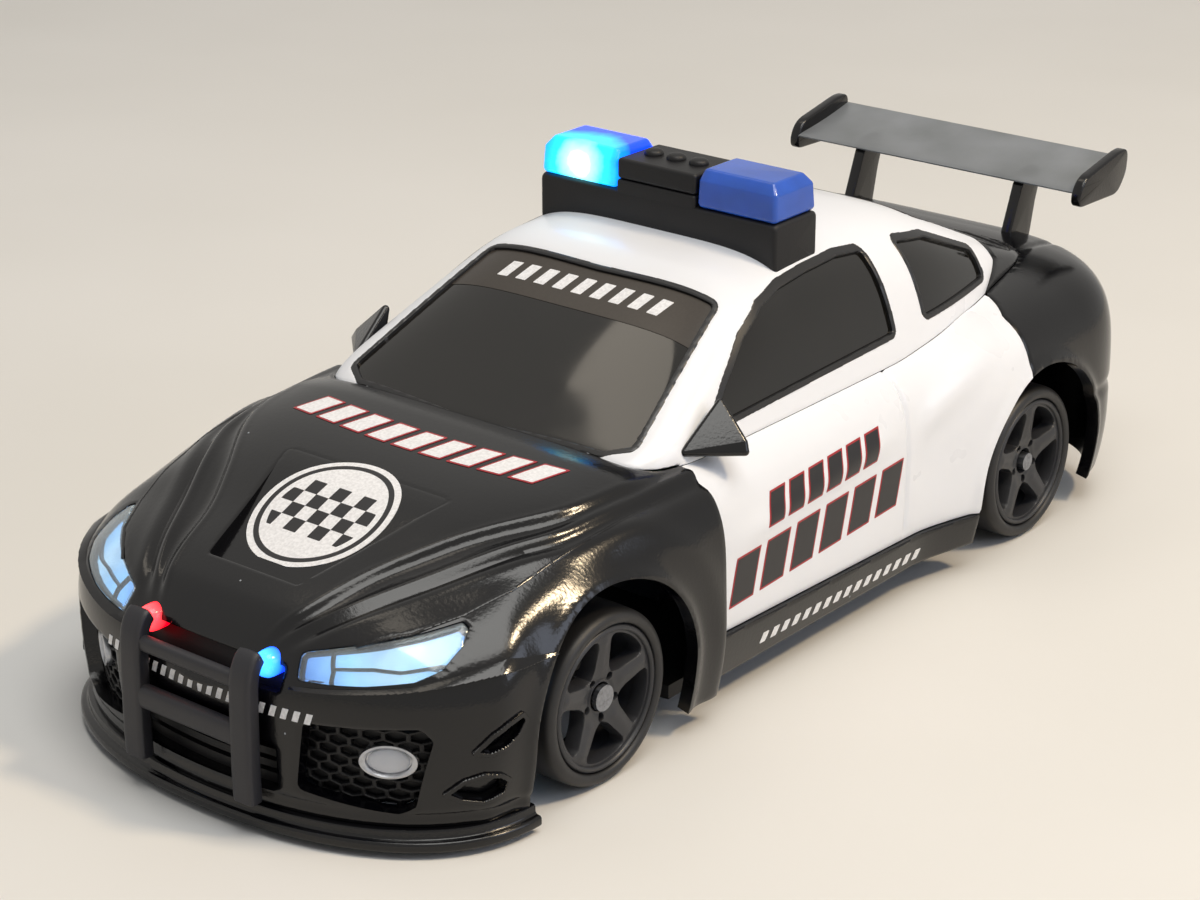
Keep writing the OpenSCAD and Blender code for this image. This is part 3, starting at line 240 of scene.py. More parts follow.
def squircle(q, n):
    """Unit quarter of a superellipse by polar angle: q = 0 is the top and q = 1 the side;
    most steps go to the top."""
    upper, lower = 90 - 45 * q / (1 - corner_share), 45 * (1 - q) / corner_share
    angle = np.radians(np.where(q < 1 - corner_share, upper, lower))
    c, s = np.maximum(np.cos(angle), 1e-9), np.maximum(np.sin(angle), 0)
    size = (c ** n + s ** n) ** (-1 / n)
    return c * size, s * size


def lower_section(half, bottom, top, n, w):
    """Section of the lower body: w = 0 is the top's middle and +-1 the sills. A superellipse of
    power n stands on the waist line; below it the side tucks in with the square of the depth."""
    q = np.abs(w) / (1 - side_share)
    c, s = squircle(np.minimum(q, 1), n)
    down = np.clip((np.abs(w) - (1 - side_share)) / side_share, 0, 1)
    x = np.sign(w) * np.where(q < 1, half * c, half - tuck * down ** 2)
    z = np.where(q < 1, waist_z + (top - waist_z) * s, waist_z - (waist_z - bottom) * down)
    return x, z


def front_half(y):
    """Half width of the nose in plan: full to the fenders' front, then a superellipse to the
    bumper's face."""
    return front_wide * bow((front_full_y - y) / (front_full_y - bumper_y), plan_power)


def front_round(y):
    """Power of the front section's superellipse: softer at the nose."""
    return nose_power + power_gain * ease(-45.5, -24.5, y)


def nose_station(u):
    """Station y of the front body: a sine crowds the steps towards the bumper's face, the rest
    runs evenly."""
    turn = np.radians(90 * np.clip(1 - u / nose_share, 0, 1))
    nose = front_full_y - (front_full_y - bumper_y) * np.sin(turn)
    fender = front_full_y + (split_y - front_full_y) * (u - nose_share) / fender_share
    return np.where(u < nose_share, nose, fender)


def front_base(u, w):
    """Smooth front body: u = 0 is the bumper's face and 1 the fender's rear edge, w runs round
    the section."""
    y = nose_station(u)
    x, z = lower_section(front_half(y), bumper_bottom_z, through(hood_line, y), front_round(y), w)
    return np.stack([x, y, z], -1)


def normals(base, u, w, step=2e-4):
    """Outward unit normals of a surface base(u, w), from its tangents by central differences."""
    u = np.clip(u, 3 * step, 1 - 3 * step)
    along = base(u + step, w) - base(u - step, w)
    across = base(u, np.clip(w + step, -1, 1)) - base(u, np.clip(w - step, -1, 1))
    n = np.cross(across, along)
    return n / np.maximum(np.linalg.norm(n, axis=-1, keepdims=True), 1e-12)


def relieved(base, relief):
    """Surface with a relief, as the pair of base(u, w) and its skin: each point of the base moved
    along its normal by relief(point)."""
    return base, lambda u, w: base(u, w) + normals(base, u, w) * relief(base(u, w))[..., None]


def line_distance(points, x, y):
    """Distance to an open line through points: the nearest of its straight pieces."""
    p = np.array(points, float)
    best = np.full(np.shape(x), 1e9)
    for a, b in zip(p[:-1], p[1:]):
        e = b - a
        t = np.clip(((x - a[0]) * e[0] + (y - a[1]) * e[1]) / (e @ e), 0, 1)
        best = np.minimum(best, np.hypot(x - a[0] - e[0] * t, y - a[1] - e[1] * t))
    return best


def polygon_distance(points, x, y):
    """Signed distance to a polygon's outline, negative inside: the nearest of all edges, signed by
    crossings."""
    p = np.array(points, float)
    inside = np.zeros(np.shape(x), bool)
    for a, b in zip(p, np.roll(p, -1, 0)):
        e = b - a
        crossing = e[0] * (y - a[1]) / (e[1] if e[1] else 1e-9) + a[0]
        inside ^= ((a[1] > y) != (b[1] > y)) & (x < crossing)
    best = line_distance([*p, p[0]], x, y)
    return np.where(inside, -best, best)


def winding(p):
    """1 for an outline that runs anticlockwise, -1 for a clockwise one: the sign of its area."""
    return np.sign(np.sum(p[:, 0] * np.roll(p[:, 1], -1) - p[:, 1] * np.roll(p[:, 0], -1)))


def rounded(points, x, y, radius):
    """Signed distance to a polygon with corners rounded by radius: the outline is drawn in by it
    and grown again."""
    p = np.array(points, float)
    edge = np.roll(p, -1, 0) - p
    edge /= np.linalg.norm(edge, axis=1, keepdims=True)
    now = np.stack([-edge[:, 1], edge[:, 0]], 1) * winding(p)
    before = np.roll(now, 1, 0)
    shift = (before + now) / (1 + np.sum(before * now, 1, keepdims=True))
    return polygon_distance(p + radius * shift, x, y) - radius


def arch_distance(p, middle_y):
    """Signed distance to a wheel arch, negative in the opening: a circle about the axle, straight
    sides below it."""
    y, z = p[..., 1] - middle_y, p[..., 2] - axle_z
    return np.where(p[..., 2] > axle_z, np.hypot(y, z), np.abs(y)) - arch_r


far_off = 9
lamp_outline = [(9.2, 12.8), (8.75, 14.6), (10.9, 15.15), (13.7, 15.75), (15.8, 16.25),
                (17.3, 16.7), (18.0, 16.4), (18.6, 15.6), (18.5, 14.4), (17.3, 13.7),
                (14.3, 13.2), (11.7, 12.95)]
fog_outline = [(9.2, 4.2), (10, 9.8), (18.2, 10.4), (18.9, 9.4), (17.6, 3.9), (16.5, 3.2)]
mouth_outline = [(-7.6, 3.4), (7.6, 3.4), (7.6, 7.4), (-7.6, 7.4)]
slot_outline = [(-8, 11.6), (8, 11.6), (8, 13.5), (-8, 13.5)]
vent_outline = [(-4.7, -46), (4.7, -46), (8.4, -33.5), (-8.4, -33.5)]
upper_scoop = [(-44.9, 8.35), (-43.8, 9.45), (-42.6, 10.1), (-41.4, 10.45), (-41.1, 10.0),
               (-41.7, 9.1), (-42.8, 8.4), (-44.0, 8.1)]
lower_scoop = [(-46.4, 5.1), (-45.5, 6.0), (-44.3, 6.35), (-43.2, 6.1), (-42.5, 5.5),
               (-42.7, 4.6), (-44.2, 4.1), (-45.6, 4.5)]
crease_line = [(-50.8, 6.4), (-46, 9.6), (-41, 12.4), (-36, 15.2), (-31.5, 17.4), (-24, 18.6),
               (-17, 18.9)]
bulge_line = [(-50.4, 5.6), (-47.2, 7.2), (-41.8, 9.0), (-37.3, 11.5), (-29.9, 16.2),
              (-24, 17.4), (-17, 17.6)]


def distance_to(outline, corner, drawn, past=None):
    """Function of points for the signed distance to an outline with rounded corners, drawn in the
    plane of two axes and alike on the car's left and right. past = (axis, way, limit) keeps it to
    the points whose coordinate times way is above the limit; all others count as far off."""
    def distance(p):
        a, b = (np.abs(p[..., i]) if i == 0 else p[..., i] for i in drawn)
        near = rounded(outline, a, b, corner)
        if past is None:
            return near
        axis, way, limit = past
        return np.where(p[..., axis] * way > limit, near, far_off)
    return distance


plan, end_view, side_view = (0, 1), (0, 2), (1, 2)
lamp_distance = distance_to(lamp_outline, 0.35, end_view, past=(1, -1, 36))
fog_distance = distance_to(fog_outline, 0.5, end_view, past=(1, -1, 38))
mouth_distance = distance_to(mouth_outline, 0.5, end_view, past=(1, -1, 44))
slot_distance = distance_to(slot_outline, 0.4, end_view, past=(1, -1, 44))
vent_distance = distance_to(vent_outline, 0.4, plan, past=(2, 1, 12))


def scoop_distance(p):
    """Signed distance to the nearer of the two scoop outlines, drawn in side view."""
    return np.minimum(polygon_distance(upper_scoop, p[..., 1], p[..., 2]),
                      polygon_distance(lower_scoop, p[..., 1], p[..., 2]))


def front_relief(p):
    """How far the moulded detail stands out of the smooth front body, in mm: bonnet creases and
    bulge, arch lips with a swell above them, and the groove over the lip."""
    x, y, z = np.abs(p[..., 0]), p[..., 1], p[..., 2]
    on_top = ease(waist_z + 3, waist_z + 5, z) * ease(-51, -48, y)
    e = x - through(crease_line, y)
    d = on_top * (ridge(e + 0.1, 0.3, 0.5) - ridge(e - 0.8, 0.24, 0.5) + ridge(e - 1.9, 0.1, 0.7))
    e = x - through(bulge_line, y)
    bulge = 0.45 * ease(0.7, -0.5, e) + ridge(e + 0.1, 0.1, 0.35) - ridge(e - 1.2, 0.14, 0.7)
    d += on_top * ease(-19, -24, y) * bulge
    e = arch_distance(p, front_y)
    d += ridge(e, 0.32, 0.75) + ridge(e - 3.4, 0.16, 1.2)
    d -= ridge(z - 3.1, 0.14, 0.3) * ease(-38, -40, y)
    return d


def crease_place(y):
    """Share w of the front section at which the bonnet crease crosses it: the superellipse solved
    for the crease's x, turned into a polar angle and then into squircle's q."""
    n = front_round(y)
    share = np.clip(through(crease_line, y) / np.maximum(front_half(y), 1), 0.05, 0.8)
    angle = np.degrees(np.arctan2((1 - share ** n) ** (1 / n), share))
    q = np.where(angle > 45, (90 - angle) / 45 * (1 - corner_share), 1 - angle / 45 * corner_share)
    return q * (1 - side_share)


def front_lined(u, v):
    """Front body on a grid whose lines at v = +-0.5 run along the bonnet creases: w is stretched
    evenly on each side of them."""
    crease, side, a = crease_place(nose_station(u)), 1 - side_share, np.abs(v)
    outer = np.where(a < side, crease + (a - 0.5) / (side - 0.5) * (side - crease), a)
    return front_base(u, np.sign(v) * np.where(a < 0.5, a / 0.5 * crease, outer))


cabin_foot_z, roof_z, tumble, cabin_power = 20.3, 32.3, 3.2, 4.5
cabin_wide, foot_power, tail_draw, cabin_gap = 18.0, 5, 3.5, 0.025
screen_y, cabin_tail_y, cabin_full_y = -22.8, 43.0, -10.0
roof_line = [(-22.8, 20.6), (-20.5, 22.2), (-4.2, 30.9), (2, 31.9), (9, 32.3), (17, 31.9),
             (24, 30.6), (33, 27), (43, 22.6)]


def cabin_half(y):
    """Half width of the cabin's foot: bowed at the windscreen, drawn in towards the tail."""
    bowed = cabin_wide * bow((cabin_full_y - y) / (cabin_full_y - screen_y), foot_power)
    return bowed - tail_draw * ease(18, 47, y)


def inside_cabin(p):
    """Below 0 inside the cabin: the superellipse sum of a point in the cabin's section at its
    station, less 1."""
    x, z = np.abs(p[..., 0]), p[..., 2]
    y = np.clip(p[..., 1], screen_y + 0.01, cabin_tail_y)
    top = through(roof_line, y)
    t = (z - cabin_foot_z) / (top - cabin_foot_z)
    half = cabin_half(y) - tumble * t * (top - cabin_foot_z) / (roof_z - cabin_foot_z)
    g = (x / np.maximum(half, 0.01)) ** cabin_power + np.maximum(t, 0) ** cabin_power - 1
    beyond = (p[..., 1] < screen_y) | (p[..., 1] > cabin_tail_y) | (t < 0)
    return np.where(beyond, 1, np.clip(g, -1, 1))


def trim_grid(u, v, field):
    """Cuts a parameter grid along the line field = 0 and keeps the side where field is below 0.
    A grid point next to the line slides onto it along its nearest cut grid edge, found by halving
    that edge; each square is then split along the line, and the kept side's triangles stay."""
    f = field(u, v)
    rows, columns = f.shape
    free = 0.5001
    nearest = np.full(f.shape, free)
    u_new, v_new = u.copy(), v.copy()
    for down, right in ((1, 0), (-1, 0), (0, 1), (0, -1)):
        here = (slice(max(0, -down), rows - max(0, down)),
                slice(max(0, -right), columns - max(0, right)))
        there = (slice(max(0, down), rows - max(0, -down)),
                 slice(max(0, right), columns - max(0, -right)))
        cut = np.nonzero(f[here] * f[there] < 0)
        ua, va, fa = u[here][cut], v[here][cut], f[here][cut]
        ub, vb = u[there][cut], v[there][cut]
        low, high = np.zeros(len(ua)), np.ones(len(ua))
        for _ in range(14):
            middle = (low + high) / 2
            same = field(ua + (ub - ua) * middle, va + (vb - va) * middle) * fa > 0
            low, high = np.where(same, middle, low), np.where(same, high, middle)
        closer = low < nearest[here][cut]
        cut = tuple(c[closer] for c in cut)
        nearest[here][cut] = low[closer]
        u_new[here][cut] = (ua + (ub - ua) * low)[closer]
        v_new[here][cut] = (va + (vb - va) * low)[closer]
    side = np.where(nearest < free, 0, np.sign(f)).astype(int).ravel()
    number = np.arange(rows * columns).reshape(rows, columns)
    a, b, c, d = (n.ravel() for n in (number[:-1, :-1], number[1:, :-1], number[1:, 1:],
                                      number[:-1, 1:]))
    across = (side[b] == 0) & (side[d] == 0) & ~((side[a] == 0) & (side[c] == 0))
    first = np.where(across[:, None], np.stack([a, b, d], 1), np.stack([a, b, c], 1))
    second = np.where(across[:, None], np.stack([b, c, d], 1), np.stack([a, c, d], 1))
    triangles = np.concatenate([first, second])
    sides = side[triangles]
    keep = (sides.max(1) <= 0) & (sides.min(1) < 0)
    doubtful = np.nonzero((sides == 0).all(1))[0]
    corner = triangles[doubtful]
    keep[doubtful] = field(u_new.ravel()[corner].mean(1), v_new.ravel()[corner].mean(1)) < 0
    used, triangles = np.unique(triangles[keep], return_inverse=True)
    return u_new.ravel()[used], v_new.ravel()[used], triangles.reshape(-1, 3)


def thick_sheet(points, outward, triangles, depth, edge_drop):
    """Closed shell from a cut sheet: the sheet with its outline rolled in by edge_drop, the same
    sheet moved in by depth and turned over, and a wall round the outline (edges that only one
    triangle has)."""
    edges = np.concatenate([triangles[:, [0, 1]], triangles[:, [1, 2]], triangles[:, [2, 0]]])
    size = len(points)
    edges = edges[~np.isin(edges[:, 0] * size + edges[:, 1], edges[:, 1] * size + edges[:, 0])]
    outer = points.copy()
    rim = np.unique(edges)
    outer[rim] -= outward[rim] * edge_drop
    wall_a = np.stack([edges[:, 1], edges[:, 0], edges[:, 0] + size], 1)
    wall_b = np.stack([edges[:, 1], edges[:, 0] + size, edges[:, 1] + size], 1)
    return (np.concatenate([outer, points - outward * depth]),
            np.concatenate([triangles, triangles[:, ::-1] + size, wall_a, wall_b]))


def cut_shell(surface, steps, field, depth, lift=0.0, u_span=(0, 1), w_span=(-1, 1),
              edge_drop=0.07):
    """Shell over the part of a surface (base, skin) where field(points of the base) is below 0;
    lift moves it out along the normals."""
    base, skin = surface
    u, w = np.meshgrid(np.linspace(*u_span, steps[0]), np.linspace(*w_span, steps[1]),
                       indexing="ij")
    u, w, triangles = trim_grid(u, w, lambda a, b: field(base(a, b)))
    outward = normals(base, u, w)
    points = np.round(skin(u, w) + outward * lift, 4)
    points, first, place = np.unique(points, axis=0, return_index=True, return_inverse=True)
    outward, triangles = outward[first], place.ravel()[triangles]
    a, b, c = triangles.T
    triangles = triangles[(a != b) & (b != c) & (c != a)]
    corner = points[triangles]
    facing = np.cross(corner[:, 1] - corner[:, 0], corner[:, 2] - corner[:, 0])
    if np.sum(facing * outward[triangles[:, 0]]) < 0:
        triangles = triangles[:, ::-1]
    return thick_sheet(points, outward, triangles, depth, edge_drop)


def join(*parts):
    """Several (points, triangles) as one."""
    start = np.cumsum([0] + [len(p) for p, _ in parts[:-1]])
    return (np.concatenate([p for p, _ in parts]),
            np.concatenate([t + s for (_, t), s in zip(parts, start)]))


def mirrored(shape):
    """A shape and its mirror image on the car's other side."""
    points, triangles = shape
    return join(shape, (points * (-1, 1, 1), triangles[:, ::-1]))


def add_piece(name, shape, material, stands_for=(), body="car", sharp=38, level=False):
    """New piece of the car from (points, triangles): an object at the origin that rides on body;
    edges sharper than the angle stay crisp, and level gives flat faces an even shade next to
    their rounded edges."""
    mesh = build_mesh(name, *shape)
    mesh.shade_smooth()
    mesh.set_sharp_from_angle(angle=math.radians(sharp))
    mesh.materials.append(material)
    piece = add_object(name, mesh)
    if level:
        piece.modifiers.new("even_faces", "WEIGHTED_NORMAL").keep_sharp = True
    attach(piece, body)
    if stands_for:
        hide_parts(*stands_for)


def front_openings(p):
    """Below 0 on the front shell: outside the cabin's foot, wheel arches, lamps, grilles, vent
    and scoops."""
    scoops = np.where(np.abs(p[..., 0]) > 17, scoop_distance(p), far_off)
    return -np.minimum.reduce([
        arch_distance(p, front_y), inside_cabin(p) - cabin_gap, lamp_distance(p), fog_distance(p),
        mouth_distance(p), slot_distance(p), vent_distance(p), scoops])


def shade(code, factor):
    """Hex colour with its channels multiplied by factor."""
    rgb = np.array([int(code[i:i + 2], 16) for i in (1, 3, 5)])
    return "#%02x%02x%02x" % tuple(np.clip(rgb * factor, 0, 255).astype(int))


flow_mm, dust_mm, dust_r = 14, 1.7, 0.05


def moulded_plastic(name, code, roughness, peel_mm, peel, dust=0.0, coat=0.0, spread=0.05,
                    mirror=0.5):
    """Injection-moulded plastic: slow tone changes from the melt's flow, a fine orange peel from
    the mould's polish, and on gloss panels a few grains of pale dust."""
    material = new_material(name)
    at = add_node(material, "ShaderNodeTexCoord").outputs["Object"]
    flow = add_node(material, "ShaderNodeTexNoise", {"Vector": at, "Scale": per_mm(flow_mm),
                                                     "Detail": 4, "Roughness": 0.6})
    colour = add_node(material, "ShaderNodeValToRGB", {"Fac": flow.outputs["Fac"]}, stops=[
        (0.3, shade(code, 1 - spread)), (0.7, shade(code, 1 + spread))]).outputs["Color"]
    rough = add_node(material, "ShaderNodeValToRGB", {"Fac": flow.outputs["Fac"]}, stops=[
        (0.25, roughness * 0.85), (0.75, roughness * 1.2)]).outputs["Color"]
    if dust:
        cell = add_node(material, "ShaderNodeTexVoronoi",
                        {"Vector": at, "Scale": per_mm(dust_mm), "Randomness": 1.0})
        near = add_node(material, "ShaderNodeMath", {0: cell.outputs["Distance"], 1: dust_r},
                        operation="LESS_THAN")
        pick = add_node(material, "ShaderNodeSeparateColor", {"Color": cell.outputs["Color"]})
        some = add_node(material, "ShaderNodeMath", {0: pick.outputs["Red"], 1: dust},
                        operation="LESS_THAN")
        grain = add_node(material, "ShaderNodeMath", {0: near.outputs[0], 1: some.outputs[0]},
                         operation="MULTIPLY")
        colour = add_node(material, "ShaderNodeMix",
                          {"Factor": grain.outputs[0], 6: colour, 7: linear("#9aa0a8")},
                          data_type="RGBA").outputs[2]
    fine = add_node(material, "ShaderNodeTexNoise",
                    {"Vector": at, "Scale": per_mm(peel_mm), "Detail": 2})
    bump = add_node(material, "ShaderNodeBump", {"Height": fine.outputs["Fac"], "Strength": peel,
                                                 "Distance": 0.02 * MM})
    shader = add_node(material, "ShaderNodeBsdfPrincipled", {
        "Base Color": colour, "Roughness": rough, "Normal": bump.outputs["Normal"], "IOR": 1.53,
        "Specular IOR Level": mirror, "Coat Weight": coat, "Coat Roughness": 0.04})
    add_node(material, "ShaderNodeOutputMaterial", {"Surface": shader.outputs["BSDF"]})
    return material


# Gloss black ABS: deep black with sharp mirrored light bands that the orange peel breaks into a
# fine grain
black_abs = moulded_plastic("gloss black ABS", "#060609", 0.16, 0.3, 0.55, dust=0.06, mirror=0.42)
front = relieved(front_base, front_relief)
front_smooth = (front_base, front_base)
add_piece("front_shell", cut_shell(relieved(front_lined, front_relief), (172, 262), front_openings,
                                   wall), black_abs, ["front_clip"])


def vent_relief(p):
    """The vent's floor falls away forwards from the bonnet's level to 0.8 mm below it."""
    return front_relief(p) - 0.02 - 0.8 * (1 - ease(-46, -34, p[..., 1]))


vent_floor = relieved(front_base, vent_relief)
add_piece("bonnet_vent_floor", cut_shell(
    vent_floor, (90, 90), lambda p: vent_distance(p) - 0.5, 0.3, u_span=(0.3, 0.78),
    w_span=(-0.42, 0.42)), black_abs)
scoop_span = dict(steps=(170, 170), u_span=(0.3, 0.56), w_span=(0.7, 0.96))
add_piece("bumper_scoop_pockets", mirrored(cut_shell(
    front, field=lambda p: scoop_distance(p) - 0.4, depth=0.3, lift=-0.75, **scoop_span)),
    black_abs)
add_piece("bumper_scoop_rims", mirrored(cut_shell(
    front, field=lambda p: np.abs(scoop_distance(p) - 0.06) - 0.2, depth=0.6, lift=0.2,
    edge_drop=0.09, **scoop_span)), black_abs)
ledge_low = [(8.6, 12.1), (9.9, 12.2), (14.7, 12.75), (17.5, 13.1), (20.5, 13.6), (22.3, 13.75)]
ledge_rise = [(8.6, 0.25), (9.8, 0.32), (17.4, 0.42), (19, 0.62), (21, 0.95), (21.7, 0.6),
              (22.3, 0.02)]
ledge_proud, ledge_ends = 0.5, [(8.6, 0.2), (10.5, 1), (21.2, 1), (22.3, 0.1)]


def ledge_share(p):
    """Height of a point in the ledge under the headlamp: 0 at its lower edge and 1 at its upper."""
    x = np.abs(p[..., 0])
    return (p[..., 2] - through(ledge_low, x)) / np.interp(x, *np.array(ledge_rise).T)


def ledge_relief(p):
    """The ledge stands out most at its lower edge, and runs out towards its ends."""
    out = ledge_proud * np.clip(1 - ledge_share(p), 0, 1)
    return front_relief(p) + out * np.interp(np.abs(p[..., 0]), *np.array(ledge_ends).T)


def ledge_face(p):
    """Below 0 on the ledge: between its two edges, from the slot's end to the fender."""
    share = ledge_share(p)
    there = (p[..., 1] < -37.4) & (np.abs(p[..., 0]) > 8.7)
    return np.where(there, np.maximum(-share, share - 1), 1)


add_piece("bumper_ledges", mirrored(cut_shell(
    relieved(front_base, ledge_relief), (420, 190), ledge_face, 0.7, u_span=(0.06, 0.64),
    w_span=(0.5, 0.8), edge_drop=0.05)), black_abs)
seam_half = 0.12
seam_line = [(12.4, -48.0), (15.2, -45.2), (17.0, -41.7), (18.3, -37.7), (18.9, -33.1), (19.3, -28),
             (19.5, -22), (19.5, -17.4)]
add_piece("fender_seams", mirrored(cut_shell(
    front, (520, 170), lambda p: line_distance(seam_line, p[..., 0], p[..., 1]) - seam_half, 0.2,
    0.05, u_span=(0.18, 0.995), w_span=(0.3, 0.72), edge_drop=0.05)), black_abs)


# Bonnet graphics: a round plaque with a chequered band in the vent's floor, and a row of slanted
# bars behind it. Cut from printed vinyl film and laid on the moulding, 0.03 mm thick.
def vinyl_film(name, code, roughness=0.34):
    """Printed film: flat ink with the fine speckle of the print and the sheen of its laminate."""
    material = new_material(name)
    at = add_node(material, "ShaderNodeTexCoord").outputs["Object"]
    speckle = add_node(material, "ShaderNodeTexNoise",
                       {"Vector": at, "Scale": per_mm(0.25), "Detail": 2})
    colour = add_node(material, "ShaderNodeValToRGB", {"Fac": speckle.outputs["Fac"]},
                      stops=[(0.35, shade(code, 0.95)), (0.65, shade(code, 1.03))])
    bump = add_node(material, "ShaderNodeBump", {"Height": speckle.outputs["Fac"], "Strength": 0.08,
                                                 "Distance": 0.01 * MM})
    shader = add_node(material, "ShaderNodeBsdfPrincipled", {
        "Base Color": colour.outputs["Color"], "Roughness": roughness,
        "Normal": bump.outputs["Normal"], "IOR": 1.5})
    add_node(material, "ShaderNodeOutputMaterial", {"Surface": shader.outputs["BSDF"]})
    return material


def decal(surface, steps, field, lift, **span):
    """Film cut along field = 0 and laid on a surface, lift mm over it at its upper face."""
    return cut_shell(surface, steps, field, film, lift, edge_drop=0, **span)


# Printed vinyl: even colour, a little speckled, with a dull sheen next to the gloss panels
white_film = vinyl_film("white vinyl film", "#eeeef0")
dark_film = vinyl_film("dark printed vinyl film", "#17161a")
red_film = vinyl_film("red printed vinyl film", "#a8232c")
film = 0.03
plaque_y, plaque_r, chequer = -38.4, 6.0, 1.3


def plaque_face(p):
    """Below 0 on the plaque: a circle in plan."""
    return np.hypot(p[..., 0], p[..., 1] - plaque_y) - plaque_r


def plaque_ink(p):
    """Below 0 where the plaque is printed dark: a ring near the edge, and a chequer of four rows
    across the middle."""
    x, y = p[..., 0], p[..., 1] - plaque_y
    r = np.hypot(x, y)
    ring = np.abs(r - plaque_r + 0.75) - 0.22
    odd = np.mod(np.floor(x / chequer + 0.5) + np.floor(y / chequer), 2) * 2 - 1
    to_upright = np.abs(np.mod(x / chequer, 1) - 0.5)
    to_level = 0.5 - np.abs(np.mod(y / chequer, 1) - 0.5)
    edge = np.minimum(to_upright, to_level) * chequer
    band = np.maximum(np.abs(y) - 2 * chequer, r - plaque_r + 1.5)
    return np.minimum(ring, np.maximum(-odd * edge, band))


plaque_span = dict(u_span=(0.42, 0.72), w_span=(-0.28, 0.28))
add_piece("bonnet_plaque", decal(vent_floor, (120, 120), plaque_face, 0.04, **plaque_span),
          white_film)
add_piece("bonnet_plaque_print", decal(vent_floor, (240, 240), plaque_ink, 0.055, **plaque_span),
          dark_film)


def slanted_bars(a, b, first, pitch, count, width, height, lean, grow=0.0):
    """Signed distance to a row of slanted bars: a runs along the row, b up it, each bar leaning
    by lean per unit height."""
    along = a - lean * b
    number = np.clip(np.round((along - first) / pitch), 0, count - 1)
    off = np.abs(along - first - pitch * number) - width / 2 - grow
    return np.maximum(off, np.abs(b) - height / 2 - grow)


bonnet_row = dict(first=-11.6, pitch=2.9, count=9, width=1.9, height=2.9, lean=0.3)
bonnet_span = dict(steps=(90, 420), u_span=(0.72, 0.9), w_span=(-0.62, 0.62))


def bonnet_bars(p, grow=0.0):
    """Bars across the rear of the bonnet, the row bent a little with the windscreen's foot."""
    up = p[..., 1] + 27.6 - 0.006 * p[..., 0] ** 2
    return slanted_bars(p[..., 0], up, grow=grow, **bonnet_row)


add_piece("bonnet_bars_edge", decal(front, field=lambda p: bonnet_bars(p, 0.18), lift=0.04,
                                    **bonnet_span), red_film)
add_piece("bonnet_bars", decal(front, field=bonnet_bars, lift=0.055, **bonnet_span), white_film)

# Cabin shell: roof, pillars, doors and quarter panels in one white ABS moulding, clipped between
# the black shells. The doors don't open: their shut lines and the swage are in the mould.
rear_y, rear_full_y, tail_y = 30.5, 38.0, 50.2
sill_bottom_z, deck_power, joint_gap = 2.6, 5, 0.06
doors_wide, haunch_gain, tail_power = 41.6, 3.7, 2.8
door_share, tail_share = 0.72, 0.28
deck_line = [(-21, 22.3), (19, 22.5), (36, 23.1), (44.2, 23.1), (48.6, 21.5), (50.2, 17.1)]
screen = [(0, -21.6), (13, -20.9), (15.2, -19.4), (12.2, -4.8), (0, -5.1), (-12.2, -4.8),
          (-15.2, -19.4), (-13, -20.9)]
rear_pane = [(0, 24.9), (11, 25.3), (13.2, 39.1), (0, 39.9), (-13.2, 39.1), (-11, 25.3)]
door_pane = [(-13.8, 22.2), (-9.6, 25.3), (-5.6, 27.9), (-2, 29.5), (1.5, 30.2), (5.5, 30.55),
             (10, 30.7), (13.4, 30.4), (13.8, 23.0)]
quarter_pane = [(18.2, 23.2), (17.8, 30.1), (22.9, 29.3), (30.1, 26.3), (30.3, 23.5)]
joint_line = [(-5, 28), (21.3, 28), (24.3, 33.5), (37.3, 35.5)]
door_foot_line = [(-26, 7), (30.5, 5.3)]
screen_distance = distance_to(screen, 0.9, plan)
rear_distance = distance_to(rear_pane, 0.9, plan)
door_distance = distance_to(door_pane, 0.7, side_view)
quarter_distance = distance_to(quarter_pane, 0.7, side_view)


def rear_half(y):
    """Half width of the doors and rear fenders: grows over the haunch, then a superellipse to the
    tail."""
    full = doors_wide + haunch_gain * ease(12.5, 24.5, y)
    return bow((y - rear_full_y) / (tail_y - rear_full_y), tail_power) * full / 2


def back_base(u, w):
    """Smooth doors and tail: u = 0 is the doors' front edge and 1 the tail, w runs round the
    section."""
    turn = np.radians(90 * np.clip((u - door_share) / tail_share, 0, 1))
    tail = rear_full_y + (tail_y - rear_full_y) * np.sin(turn)
    y = np.where(u < door_share, split_y + (rear_full_y - split_y) * u / door_share, tail)
    x, z = lower_section(rear_half(y), sill_bottom_z, through(deck_line, y), deck_power, w)
    return np.stack([x, y, z], -1)


def cabin_base(u, w):
    """Smooth cabin: u = 0 is the windscreen's foot and 1 the tail, w runs over the roof from foot
    to foot. A superellipse whose sides lean in with the height."""
    y = screen_y + (cabin_tail_y - screen_y) * (0.6 * u + 0.4 * u * u)
    height = through(roof_line, y) - cabin_foot_z
    c, s = squircle(np.abs(w), cabin_power)
    x = np.sign(w) * (cabin_half(y) - tumble * s * height / (roof_z - cabin_foot_z)) * c
    return np.stack([x, y, cabin_foot_z + height * s], -1)


def inside_lower(p):
    """Below 0 inside the bonnet, doors or tail: the superellipse sum of a point in its section,
    less 1."""
    x, z = np.abs(p[..., 0]), p[..., 2]
    y = np.clip(p[..., 1], bumper_y + 0.01, tail_y - 0.01)
    ahead = y < split_y
    half = np.where(ahead, front_half(y), rear_half(y))
    top = np.where(ahead, through(hood_line, y), through(deck_line, y))
    n = np.where(ahead, front_round(y), deck_power)
    up = np.maximum((z - waist_z) / (top - waist_z), 0)
    return np.clip((x / np.maximum(half, 0.01)) ** n + up ** n - 1, -1, 1)


def behind_joint(p):
    """Distance behind the joint of the white and the black moulding, a bent line in side view."""
    return p[..., 1] - np.interp(p[..., 2], *np.array(joint_line).T)


def door_bottom(y):
    """Height of the doors' lower edge, falling towards the rear."""
    return np.interp(y, *np.array(door_foot_line).T)


